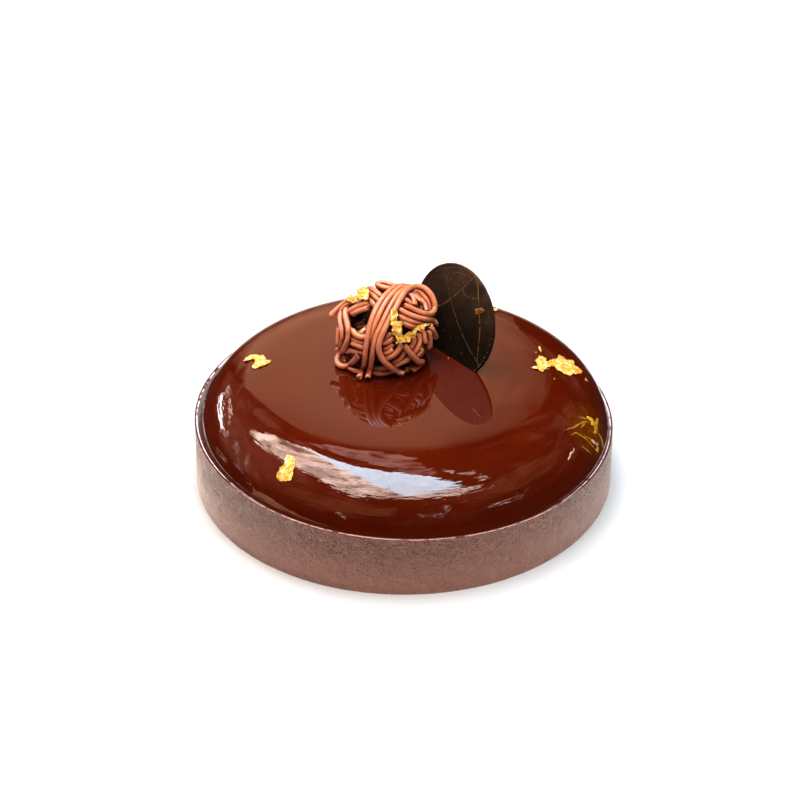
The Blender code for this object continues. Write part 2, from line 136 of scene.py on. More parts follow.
# %% Write the helpers for the finishes
class Finish:
    """A material and short ways to build its nodes."""

    def __init__(self, name, colour, roughness, **sockets):
        self.material = bpy.data.materials.new(name)
        self.material.use_nodes = True
        self.tree = self.material.node_tree
        self.shader = self.tree.nodes["Principled BSDF"]
        self.set("Base Color", (*colour, 1))
        self.set("Roughness", roughness)
        for socket, value in sockets.items():
            self.set(socket.replace("_", " "), value)

    def set(self, socket, value):
        self.shader.inputs[socket].default_value = value

    def plug(self, output, socket):
        self.tree.links.new(output, self.shader.inputs[socket])

    def node(self, kind, values=(), **settings):
        """Adds a node: values maps an input's name or number to a number or another output."""
        made = self.tree.nodes.new(kind)
        for key, value in settings.items():
            setattr(made, key, value)
        for key, value in dict(values).items():
            if isinstance(value, bpy.types.NodeSocket):
                self.tree.links.new(value, made.inputs[key])
            else:
                made.inputs[key].default_value = value
        return made

    def maths(self, operation, *values):
        return self.node("ShaderNodeMath", enumerate(values), operation=operation).outputs[0]

    def plus(self, first, second):
        return self.maths("ADD", first, second)

    def minus(self, first, second):
        return self.maths("SUBTRACT", first, second)

    def times(self, first, *others):
        for value in others:
            first = self.maths("MULTIPLY", first, value)
        return first

    def vectors(self, operation, *values):
        """Works on whole vectors. Output 0 is a vector, and output 1 is a number."""
        return self.node("ShaderNodeVectorMath", enumerate(values), operation=operation).outputs

    def place(self):
        return self.node("ShaderNodeTexCoord").outputs["Object"]

    def axes(self, vector=None):
        """The x, y and z of a vector, or else of the place on the object."""
        return self.node("ShaderNodeSeparateXYZ", {0: vector or self.place()}).outputs

    def level(self, x, y):
        """The level vector (x, y) and its length, which is the distance from the middle."""
        flat = self.node("ShaderNodeCombineXYZ", {0: x, 1: y}).outputs[0]
        return flat, self.vectors("LENGTH", flat)[1]

    def noise(self, scale, detail=3.0, vector=None, roughness=0.55, distortion=0.0):
        values = {"Scale": scale, "Detail": detail, "Roughness": roughness}
        values["Distortion"] = distortion
        values["Vector"] = vector or self.place()
        return self.node("ShaderNodeTexNoise", values).outputs["Fac"]

    def ramp(self, factor, stops):
        made = self.node("ShaderNodeValToRGB", {0: factor})
        band = made.color_ramp.elements
        while len(band) < len(stops):
            band.new(0.5)
        for element, (position, colour) in zip(band, stops):
            element.position = position
            element.color = (*colour, 1)
        return made.outputs["Color"]

    def fade(self, value, start, end, low=0.0, high=1.0):
        """Goes evenly from low to high while the value goes from start to end."""
        made = self.node("ShaderNodeMapRange", enumerate((value, start, end, low, high)))
        return made.outputs[0]

    def blend(self, factor, first, second):
        values = {0: factor}
        for socket, colour in ((6, first), (7, second)):
            values[socket] = (*colour, 1) if isinstance(colour, tuple) else colour
        return self.node("ShaderNodeMix", values, data_type="RGBA").outputs[2]

    def bump(self, height, distance, strength=1.0):
        values = {"Height": height, "Distance": distance, "Strength": strength}
        self.plug(self.node("ShaderNodeBump", values).outputs["Normal"], "Normal")

    def report(self):
        print("finish", self.material.name, "has", len(self.tree.nodes), "nodes")


# %% [markdown]
# ## The floor and the light
# The cake stands on a plain white floor. The floor has to come out nearly white while the
# glaze still mirrors a dark room, so the light comes from a few cards, as in a studio: a
# bluish soft box overhead, a beige board beside it, and a dim warm backdrop whose
# reflection is the lighter brown of the flat top. A card is a flat mesh that glows, since a
# lamp can't have the crooked outline that the glaze shows. Each is hidden from the camera.
# The glaze's rim mirrors only a narrow strip of white, so only the floor close to the cake
# shows in a mirror, and a dimmer sheet stands for the floor behind it.


# %% Make the floor
def staged(name, mesh, finish, *hidden_from):
    made = link(name, mesh, finish.material)
    hide(made, *hidden_from)


def glow(name, colour, strength, patchy=None, scale=12.0, stretch=(1, 1, 1)):
    """A surface that glows. Patchy gives how dim and how bright its patches are."""
    shine = {"Emission_Color": (*colour, 1), "Emission_Strength": strength}
    made = Finish(name, (0, 0, 0), 1.0, Specular_IOR_Level=0, **shine)
    if patchy:
        tones = [(at, tuple(v * share for v in colour)) for at, share in zip((0.35, 0.62), patchy)]
        spot = made.vectors("MULTIPLY", made.place(), stretch)[0]
        made.plug(made.ramp(made.noise(scale, 5.0, spot, distortion=0.6), tones), "Emission Color")
    return made


def field(name, outer, hole=None, height=0.0):
    """A level rectangle (west, east, south, north), with a rectangular hole if asked."""
    corners = ((0, 2), (1, 2), (1, 3), (0, 3))
    points = [(side[x], side[y], height) for side in (outer, hole) if side for x, y in corners]
    return mesh_of(name, points, between(0, 4, 4) if hole else [(0, 1, 2, 3)])


NEAR = (-0.101, 0.106, -0.1, 0.115)
TABLE = (-0.4, 0.4, -0.4, 0.4)
FAR = (-6, 6, -6, 6)
BEHIND = (-0.12, 0.11, 0.12, 0.6)
white = Finish("floor_white", (0.64, 0.67, 0.674), 1.0, Specular_IOR_Level=0)
white.set("Emission Color", (1, 1, 1, 1))
white.set("Emission Strength", 0.07)
staged("floor", field("floor", NEAR), white)
staged("mid_floor", field("mid_floor", TABLE, NEAR), white, "glossy")
staged("far_floor", field("far_floor", FAR, TABLE), white, "glossy", "diffuse")
dim_light = glow("dim_floor", (1.0, 0.66, 0.52), 0.6)
staged("dim_floor", field("dim_floor", BEHIND, height=-0.003), dim_light, "camera", "diffuse")

# %% [markdown]
# ## The cards that the glaze mirrors
# The bright crescent on the shoulder is the soft box and the board beside it. The thin streak
# at the left is a slit of light, low behind the cake. The corners of the big cards are given
# in metres on a level plane above the cake, and those of the small ones by compass direction
# and height in degrees, because that is how a mirror shows them. Edges are frayed a little,
# as a mirror that isn't flat shows them.


# %% Write the helpers for the cards
OVERHEAD = 0.9
DIM = ("diffuse", "shadow")


def card(name, corners, finish, *hidden_from, faces=None):
    mesh = mesh_of(name, corners, faces or [tuple(range(len(corners)))])
    staged(name, mesh, finish, "camera", *hidden_from)


def in_sky(directions, away=1.0):
    """Turns (compass direction, height) in degrees into points that far from the cake."""
    points = []
    for around, above in directions:
        a, b = math.radians(around), math.radians(above)
        level = away * math.sin(a) * math.cos(b), away * math.cos(a) * math.cos(b)
        points.append((*level, away * math.sin(b)))
    return points


def frayed(corners, tear, step):
    """The same outline in shorter steps, with every new point moved a little."""
    roll = random.Random(7)
    points = []
    for start, end in zip(corners, corners[1:] + corners[:1]):
        count = max(1, round(math.dist(start, end) / step))
        for k in range(count):
            spot = Vector(start).lerp(Vector(end), k / count)
            points.append(spot + Vector((roll.uniform(-tear, tear), roll.uniform(-tear, tear))))
    return points


def overhead(corners, tear, step, height=OVERHEAD):
    return [(x, y, height) for x, y in frayed(corners, tear, step)]


print("cards hang", OVERHEAD, "m above the floor")

# %% [markdown]
# The soft box is bright and bluish. The board is torn and patchy, since it shows in the glaze
# as a ragged beige cloud, and a faint haze hangs beside the back end of the soft box.

# %% Hang the bright cards
soft_box = [
    (-0.215, 0.75), (-0.12, 0.55), (0.0, 0.43), (0.07, 0.33), (0.12, 0.21), (0.27, -0.03),
    (0.2, -0.11), (0.02, -0.24), (-0.1, -0.01), (-0.135, 0.16), (-0.18, 0.42),
]
board = [
    (-0.68, 0.78), (-0.215, 0.75), (0.0, -0.1), (0.2, -0.12), (0.43, -0.15), (0.57, -0.34),
    (0.02, -0.38), (-0.3, -0.34), (-0.37, -0.2), (-0.42, 0.16), (-0.65, 0.58),
]
haze = [
    (-0.19, 0.85), (-0.1, 0.93), (-0.03, 0.94), (0.012, 0.84), (0.05, 0.57), (0.085, 0.42),
    (0.046, 0.37), (0.003, 0.43), (-0.054, 0.6), (-0.11, 0.73),
]
slit = [
    (-37, 15), (-39, 13), (-43, 13.5), (-47, 14.5), (-53, 15.5), (-59, 15), (-59, 17), (-54, 19),
    (-46, 18.5), (-42, 18), (-41, 17), (-39, 16),
]
slit_end = [(-59, 17), (-59, 21), (-58, 24), (-63, 21), (-62, 18)]
card(
    "soft_box",
    overhead(soft_box, 0.004, 0.02),
    glow("soft_box", (0.8, 0.98, 1.15), 14, (0.8, 1.06), 45.0, (1, 0.4, 1)),
)
card(
    "board",
    overhead(board, 0.012, 0.04, OVERHEAD + 0.01),
    glow("board", (1.0, 0.75, 0.63), 11.5, (0.12, 1.4), 11.0, (0.7, 1.0, 1)),
)
card(
    "haze",
    overhead(haze, 0.012, 0.03),
    glow("haze", (1.0, 0.55, 0.46), 2.6, (-1.0, 1.25), 22.0, (1, 0.45, 1)),
)
card("slit", in_sky(slit), glow("slit", (1.0, 0.95, 0.97), 17))
card("slit_end", in_sky(slit_end), glow("slit_end", (1.0, 0.8, 0.82), 8, (0.2, 1.3), 22.0))

# %% [markdown]
# A poured glaze is never quite even, so it also catches short glints and brush strokes of
# light, which are small slivers here, and faint reddish streaks towards the front. The dim
# cards among them show in the glaze, but light nothing else and throw no shadow.

# %% Hang the slivers and the dim cards
SLIVERS_AWAY = 0.97
wood = [
    (-98, 3), (-108, 5), (-118, 2), (-130, -1), (-142, -4), (-156, -7), (-152, -15), (-134, -14),
    (-120, -12), (-108, -16), (-98, -14),
]
embers = [
    (-112, 30), (-118, 25), (-132, 25), (-150, 26), (-172, 32), (-178, 46), (-155, 52),
    (-128, 48), (-110, 38),
]
embers_right = [
    (70, 36), (84, 31), (100, 34), (118, 36), (140, 44), (150, 55), (130, 63), (100, 59),
    (84, 62), (70, 50),
]
glints = [
    [(136, 27), (129, 25.5), (125, 25), (121, 22.4), (112, 24.5), (112, 23.5), (117, 21.4),
     (121, 20.6), (126, 23), (129, 23.5), (136, 25.6)],
    [(12, 61.5), (16, 63.2), (21, 65), (23, 66.5), (18, 65), (13, 63.2)],
    [(24, 66), (31, 67), (39, 67), (42, 68.4), (34, 68.5), (26, 67.3)],
    [(66, 70.6), (65, 69), (73, 67.3), (79, 67), (71, 69.5), (73, 70.6)],
    [(172, 32), (163.5, 29.2), (155, 31), (155, 30), (164, 28), (172, 31)],
    [(157, 40.5), (152, 44.6), (152.5, 42.5), (157.3, 38)],
    [(113, 56.4), (108, 57.4), (110, 55.7), (115, 54.5)],
    [(-144, 25), (-148, 21), (-151, 15), (-151, 12), (-148, 18), (-144, 22)],
    [(-34, 19), (-37.5, 25.5), (-44, 28), (-52, 26.7), (-51.6, 28.4), (-43, 29.4), (-36.8, 27),
     (-33.4, 20.6)],
]
brushed = [
    [(-65, -4.5), (-67, -4), (-70, -3), (-76, 1), (-77, -0.5), (-70, -5.5), (-66, -6.5)],
    [(-74, 36), (-82, 27), (-90, 18), (-91, 17), (-81, 25.5), (-73, 34.5)],
    [(-64, 31), (-74, 24), (-86, 13), (-87, 12), (-75, 21), (-64, 28)],
    [(-80, 13), (-88, 8), (-96, 5), (-96, 4), (-88, 6.5), (-80, 11)],
]


def slivers(name, outlines, finish, *hidden_from):
    """Several narrow cards in one mesh."""
    corners, faces = [], []
    for outline in outlines:
        faces.append(tuple(range(len(corners), len(corners) + len(outline))))
        corners += in_sky(outline, SLIVERS_AWAY)
    card(name, corners, finish, *hidden_from, faces=faces)


wood_light = glow("wood", (1.0, 0.45, 0.24), 2.1, (-1.4, 1.4), 5.0, (1, 1, 2.5))
card("wood", in_sky(frayed(wood, 1.2, 3)), wood_light, *DIM)
slivers("glints", glints, glow("glints", (1.0, 0.72, 0.6), 8, (-0.6, 1.4), 22.0, (0.6, 0.6, 1.6)))
slivers("brushed", brushed, glow("brushed", (1.0, 0.66, 0.56), 3.6, (-0.2, 1.3), 30.0), *DIM)
ember_light = glow("embers", (1.0, 0.33, 0.15), 1.2, (-2.0, 1.3), 4.0, (1, 1, 2.5))
card("embers", in_sky(frayed(embers, 1.2, 3)), ember_light, *DIM)
ember_light = glow("embers_right", (1.0, 0.34, 0.16), 1.0, (-0.6, 1.3), 6.0, (1, 1, 2.0))
card("embers_right", in_sky(frayed(embers_right, 1.2, 3)), ember_light, *DIM)

# %% [markdown]
# The rest of the room shows in the glaze as faint brown streaks. One large ring of dim,
# cloudy light stands for it, brighter at the left. Like the dim cards, it lights nothing else.

# %% Close the room
ROOM_COLOUR = (1.0, 0.4, 0.26)
ROOM_RADIUS = 2.2
ROOM_SIDES = 36
room_light = glow("room_light", ROOM_COLOUR, 1.2)


def room_nodes(f):
    x, y, z = f.axes()
    tall = f.vectors("MULTIPLY", f.place(), (1, 1, 3))[0]
    clouds = f.fade(f.noise(1.6, 6.0, tall, roughness=0.6, distortion=1.5), 0.52, 0.62)
    left = f.times(f.fade(x, -0.2, -1.3), f.fade(y, -1.2, 0.4))
    light = f.times(f.plus(clouds, f.times(left, 0.35)), f.plus(f.times(left, 0.9), 0.45))
    above = f.times(light, f.fade(z, 0.15, 0.7))
    f.plug(f.ramp(above, [(0.0, (0, 0, 0)), (1.0, ROOM_COLOUR)]), "Emission Color")


room_nodes(room_light)
heights = (0, 10, 20, 30, 40, 50, 62)
turned = range(0, 360, 360 // ROOM_SIDES)
walls = in_sky([(around, above) for above in heights for around in turned], ROOM_RADIUS)
sides = []
for row in range(len(heights) - 1):
    sides += between(row * ROOM_SIDES, (row + 1) * ROOM_SIDES, ROOM_SIDES)
card("room", walls, room_light, *DIM, faces=sides)

# %% [markdown]
# The flat top mirrors a warm wall behind the cake, which is why it is a lighter brown than
# the shoulder. The wall is brightest at the left, and fades to the right, at the top and at
# its foot.

# %% Hang the wall behind the cake
WALL_COLOUR = (1.0, 0.5, 0.29)
WALL_BEHIND = 0.95
wall_light = glow("wall_light", WALL_COLOUR, 1.75)


def wall_nodes(f):
    x, _, z = f.axes()
    ragged = f.times(f.minus(f.noise(7.0, 5.0, distortion=1.0), 0.5), 0.3)
    torn = f.plus(x, ragged)
    across = f.times(f.fade(torn, 0.04, 0.27, 1.0, 0.12), f.fade(torn, -0.46, -0.33))
    top = f.fade(f.plus(z, f.times(ragged, 0.3)), 0.83, 0.9, 1.0, 0.0)
    upward = f.times(f.fade(z, 0.58, 0.84, 1.0, 0.55), top)
    low = f.fade(z, 0.12, 0.32, 0.5, 1.0)
    cloudy = f.fade(f.noise(5.0, 4.0), 0.3, 0.7, 0.84, 1.08)
    light = f.times(across, upward, low, cloudy)
    f.plug(f.ramp(light, [(0.0, (0, 0, 0)), (1.0, WALL_COLOUR)]), "Emission Color")


wall_nodes(wall_light)
wall = [
    (-0.52, 0.03), (-0.05, 0.03), (0.2, 0.1), (0.19, 0.4), (0.28, 0.62), (0.25, 0.78),
    (0.1, 0.91), (-0.1, 0.91), (-0.3, 0.74), (-0.42, 0.6), (-0.5, 0.42),
]
card("wall", [(x, WALL_BEHIND, z) for x, z in wall], wall_light)

# %% [markdown]
# A large ceiling lamp keeps the shadows soft and the floor even. Weak lamps in front and at the
# left open the shadows of the strands. One higher up at the right makes up for the light of
# the cards, which comes more from the left. None of them shows in the glaze.


# %% Set the lamps
def lamp(name, size, power, place, target, tint=(1, 1, 1)):
    made = bpy.data.lights.new(name, "AREA")
    made.size = size
    made.energy = power
    made.color = tint
    hung = bpy.data.objects.new(name, made)
    hung.location = place
    hung.rotation_euler = (Vector(target) - Vector(place)).to_track_quat("-Z", "Y").to_euler()
    hide(hung, "glossy", "camera")
    bpy.context.collection.objects.link(hung)
    print(name, power, "W")


lamp("ceiling", 4, 19.2, (0, 0, 2.4), (0, 0.001, 0))
lamp("front_lamp", 1.0, 1.5, (-0.5, -1.6, 0.4), (0, 0, 0.03))
lamp("left_lamp", 0.6, 0.65, (-1.6, -0.5, 0.35), (0, 0, 0.03))
lamp("right_lamp", 0.6, 2.4, (1.25, -0.1, 1.1), (0, 0, 0.03), (1, 0.96, 0.92))

world = bpy.data.worlds.new("dim_room")
world.use_nodes = True
world.node_tree.nodes["Background"].inputs["Color"].default_value = (0.025, 0.022, 0.02, 1)
bpy.context.scene.world = world

# %% [markdown]
# ## The glazed cake
# The mirror glaze runs smooth over the frozen dome and sets as one glassy skin. It could be
# the CAD solid with a glossy material, but its facets would show as broken reflections, so
# a finer surface is turned from the same formula: upright at the side, then a dome whose top
# stays flat far out. On the shoulder it sags a little unevenly, as a poured glaze does.

# %% Turn the glazed dome
CAKE_RADIUS = 88.35 * MM
CAKE_SHOULDER = 25.0 * MM
CAKE_TOP = 47.7 * MM
SIDE_RINGS = (25, 22, 18, 14, 10, 6, 2, 0)


def dome_height(radius):
    share = min(radius / CAKE_RADIUS, 1.0)
    return CAKE_SHOULDER + (CAKE_TOP - CAKE_SHOULDER) * (1 - share**8.0) ** (1 / 1.62)


def dome_normal(x, y):
    radius = max(math.hypot(x, y), 1e-6)
    step = 0.02 * MM
    slope = (dome_height(radius + step) - dome_height(max(radius - step, 0))) / (2 * step)
    return Vector((-slope * x / radius, -slope * y / radius, 1)).normalized()


def on_dome(x, y, lift=0.0):
    """The point of the glaze above (x, y) in millimetres, raised by lift in metres."""
    x, y = x * MM, y * MM
    return Vector((x, y, dome_height(math.hypot(x, y)))) + dome_normal(x, y) * lift


def glaze_mesh(turns=480, rings=140):
    points = [Vector((0, 0, CAKE_TOP))]
    radii = [CAKE_RADIUS * math.sin(math.pi / 2 * k / rings) ** 0.25 for k in range(1, rings)]
    for radius in radii:
        share = max(0, min(1, (radius / CAKE_RADIUS - 0.7) / 0.25))
        down = (radius - dome_height(radius)) / (5 * MM)
        for cosine, sine in circle(turns):
            x, y = radius * cosine, radius * sine
            sag = -0.07 * MM * share * (1 + noise.noise(Vector((3 * cosine, 3 * sine, down))))
            points.append(on_dome(x / MM, y / MM, sag))
    for height in SIDE_RINGS:
        for cosine, sine in circle(turns):
            points.append((CAKE_RADIUS * cosine, CAKE_RADIUS * sine, height * MM))
    last = len(points) - turns
    faces = [(0, 1 + turn, 1 + (turn + 1) % turns) for turn in range(turns)]
    for first in range(1, last, turns):
        faces += between(first, first + turns, turns)
    faces.append(tuple(range(last, last + turns)))
    return mesh_of("glazed_dome", points, faces)


glaze_finish = Finish("mirror_glaze", (0.06, 0.005, 0.0006), 0.012, IOR=1.55)
glazed_dome = piece("glazed_dome", glaze_mesh(), glaze_finish.material)
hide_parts("glazed_cake")

# %% [markdown]
# ## The glaze's finish
# Chocolate glaze is a very dark, very red brown that mirrors like glass. Where it ran down
# the shoulder it set in fine streaks round the cake, which fray the edges of every
# reflection there, while the flat top stayed calm. The streaks are a noise that is stretched
# round the cake: its coordinates are the direction from the centre, which hardly changes
# along the side, and the distance down the shoulder, which changes fast. At the right some
# gold was stirred into the wet glaze and left a yellow wisp in it.


# %% Finish the glaze
def glaze_nodes(f):
    x, y, z = f.axes()
    flat, radius = f.level(x, y)
    way = f.axes(f.vectors("NORMALIZE", flat)[0])
    down = f.minus(radius, z)
    streaks = []
    for wide, deep in ((6.0, 260.0), (15.0, 900.0)):
        stretched = [f.times(way[0], wide), f.times(way[1], wide), f.times(down, deep)]
        flow = f.node("ShaderNodeCombineXYZ", enumerate(stretched)).outputs[0]
        streaks.append(f.noise(1.0, 1.5, flow))
    shoulder = f.fade(radius, 0.064, 0.08)
    calm_rim = f.fade(radius, 0.0852, 0.0868, 1.0, 0.15)
    fine = f.plus(f.times(streaks[1], 0.55), f.times(f.noise(420, 3.0), 0.012))
    f.bump(f.times(f.plus(streaks[0], fine), f.times(shoulder, calm_rim)), 0.00013)
    tones = [(0.3, (0.052, 0.0038, 0.0004)), (0.7, (0.072, 0.0064, 0.0009))]
    tone = f.ramp(f.noise(35, 4.0), tones)
    near = f.vectors("DISTANCE", f.place(), (0.080, -0.025, 0.038))[1]
    wisps = f.fade(f.noise(190, 3.0, roughness=0.6, distortion=2.0), 0.44, 0.66)
    gilded = f.times(f.fade(near, 0.003, 0.016, 1.0, 0.0), f.plus(f.times(wisps, 0.28), 0.1))
    f.plug(f.blend(gilded, tone, (0.3, 0.12, 0.002)), "Base Color")
    f.report()


glaze_nodes(glaze_finish)

# %% [markdown]
# ## The chocolate band
# A strip of milk chocolate is spread thin on a grained plastic sheet and wrapped round the
# cake while it still bends, so its face keeps the sheet's fine leathery wrinkles. Bump alone
# would leave the edge too clean, so the face is a fine net of points moved in by a warped
# noise, which is seeded so that it is the same each time. The band throws no brown light on
# the floor, where the real shadow is a neutral grey.

# %% Make the band
BAND_RADIUS = 90.0 * MM
BAND_THICKNESS = 1.3 * MM
BAND_HEIGHT = 27.9 * MM
BAND_SLOPE = 2.3 * MM
WRINKLE_SIZE = 1.15 * MM
WRINKLE_DEPTH = 0.17 * MM
noise.seed_set(11)


def band_mesh(turns=1180, rows=58):
    inside = BAND_RADIUS - BAND_THICKNESS
    outline = [(BAND_RADIUS, BAND_HEIGHT * (row + 0.25) / (rows + 0.5)) for row in range(rows + 1)]
    outline += [(BAND_RADIUS - 0.25 * MM, BAND_HEIGHT), (inside + 0.25 * MM, BAND_HEIGHT)]
    outline += [(inside, BAND_HEIGHT - 0.3 * MM), (inside, 0), (BAND_RADIUS - 0.2 * MM, 0)]
    points, faces = [], []
    for cosine, sine in circle(turns):
        for radius, height in outline:
            nick = 0.0
            if radius == BAND_RADIUS:
                spot = Vector((radius * cosine, radius * sine, height)) / WRINKLE_SIZE
                wrinkle = abs(noise.noise(spot + noise.noise_vector(spot * 0.45) * 1.6))
                nick = -WRINKLE_DEPTH * max(0.0, 1 - wrinkle * 4.2) ** 1.5
            z = height - BAND_SLOPE * cosine * (height / BAND_HEIGHT)
            points.append(((radius + nick) * cosine, (radius + nick) * sine, z))
    count = len(outline)
    for turn in range(turns):
        faces += between(turn * count, (turn + 1) % turns * count, count)
    return mesh_of("wrapped_band", points, faces)


band_finish = Finish("band_chocolate", (0.27, 0.125, 0.09), 0.5, Specular_IOR_Level=0.25)
for socket, value in (("Weight", 1.0), ("Roughness", 0.4), ("Tint", (1.0, 0.95, 0.9, 1))):
    band_finish.set(f"Sheen {socket}", value)
wrapped_band = piece("wrapped_band", band_mesh(), band_finish.material)
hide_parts("chocolate_band")
hide(wrapped_band, "diffuse")

# %% [markdown]
# Bump adds the finest wrinkles, which are the contour lines of a noise: they wind and close on
# themselves as real wrinkles do, and are stronger near the top. Some are pits. The colour is
# darker in the grooves and the pits, as painted shade.


# %% Finish the band
def band_nodes(f):
    high = f.fade(f.axes()[2], 0.005, 0.022, 0.35, 1.0)
    levels = f.noise(200, 1.0, roughness=0.4, distortion=0.6)
    ripple = f.fade(f.maths("SINE", f.times(levels, 96.0)), -1.0, 1.0)
    pits = f.times(f.fade(f.noise(1000, 1.0), 0.6, 0.7), high)
    f.bump(f.minus(f.times(ripple, high), pits), 0.00016)
    mottle = f.ramp(f.noise(300, 4.0), [(0.35, (0.34, 0.143, 0.097)), (0.65, (0.42, 0.19, 0.132))])
    # Painted shade: the grooves of the ripples and the pits are made darker.
    painted_groove_shade = f.times(f.minus(1.0, ripple), f.times(high, 0.95))
    rippled = f.blend(painted_groove_shade, mottle, (0.13, 0.042, 0.026))
    f.plug(f.blend(pits, rippled, (0.05, 0.014, 0.008)), "Base Color")
    f.report()


band_nodes(band_finish)

# %% [markdown]
# The cut top edge of the band is a narrow ledge, painted dark as the shade under the glaze's
# rim. In front its outer corner has a painted pale highlight, and at both sides a thin white
# line inside it is a painted reflection.

# %% Colour the cut edge
# The dark colour of the ledge is painted shade.
EDGE_SHADE = (0.07, 0.012, 0.006)
edge_finish = Finish("band_edge", EDGE_SHADE, 0.5, Specular_IOR_Level=0.1)
wrapped_band.data.materials.append(edge_finish.material)
for face in wrapped_band.data.polygons:
    face.material_index = int(face.normal.z > 0.6 and face.center.z > BAND_HEIGHT / 2)


def edge_nodes(f):
    x, y, _ = f.axes()
    radius = f.level(x, y)[1]
    nicks = f.fade(f.noise(260, 2.0), 0.36, 0.5)
    beside = f.fade(f.maths("ABSOLUTE", x), 0.055, 0.075)
    outer = f.times(f.fade(radius, 0.0894, 0.0897), f.minus(1.0, beside))
    inner = f.times(f.fade(radius, 0.0893, 0.0891), beside)
    # Painted highlight in front and painted reflection at the sides, in thin broken lines.
    pale = f.blend(beside, (0.62, 0.37, 0.31), (1.0, 0.9, 0.9))
    lines = f.times(f.plus(outer, inner), nicks)
    f.plug(f.blend(lines, EDGE_SHADE, pale), "Base Color")
    f.report()


edge_nodes(edge_finish)

# %% [markdown]
# ## The ball of piped strands
# The ball is piped chestnut cream: soft strands, 2.7 mm thick, wound round a hollow. Each
# strand is a smooth path with a tube swept along it. Those that show on the front are drawn
# by a few stations each, in millimetres right and up of the ball's centre and in layers
# outwards, and are then lifted onto the ball.

# %% Draw the strands of the front
STRAND_RADIUS = 1.35 * MM
BALL_RADIUS = 18.6 * MM
LAYER = 2.3 * MM
BALL_HEIGHT = 12.0 * MM
BALL_CENTRE = Vector((-7.6 * MM, 18.5 * MM, CAKE_TOP + BALL_HEIGHT))
VIEW_ANGLE = math.radians(35)
LOWEST = 0.2 * MM + STRAND_RADIUS - BALL_HEIGHT
tilt_up = Vector((0, math.sin(VIEW_ANGLE), math.cos(VIEW_ANGLE)))
to_viewer = Vector((0, -math.cos(VIEW_ANGLE), math.sin(VIEW_ANGLE)))


def on_ball(right, up, layers):
    flat = Vector((right * MM, 0, 0)) + tilt_up * up * MM
    depth = math.sqrt(max((BALL_RADIUS + layers * LAYER) ** 2 - flat.length_squared, 0))
    return flat + to_viewer * max(depth, (LOWEST - flat.z) / to_viewer.z)


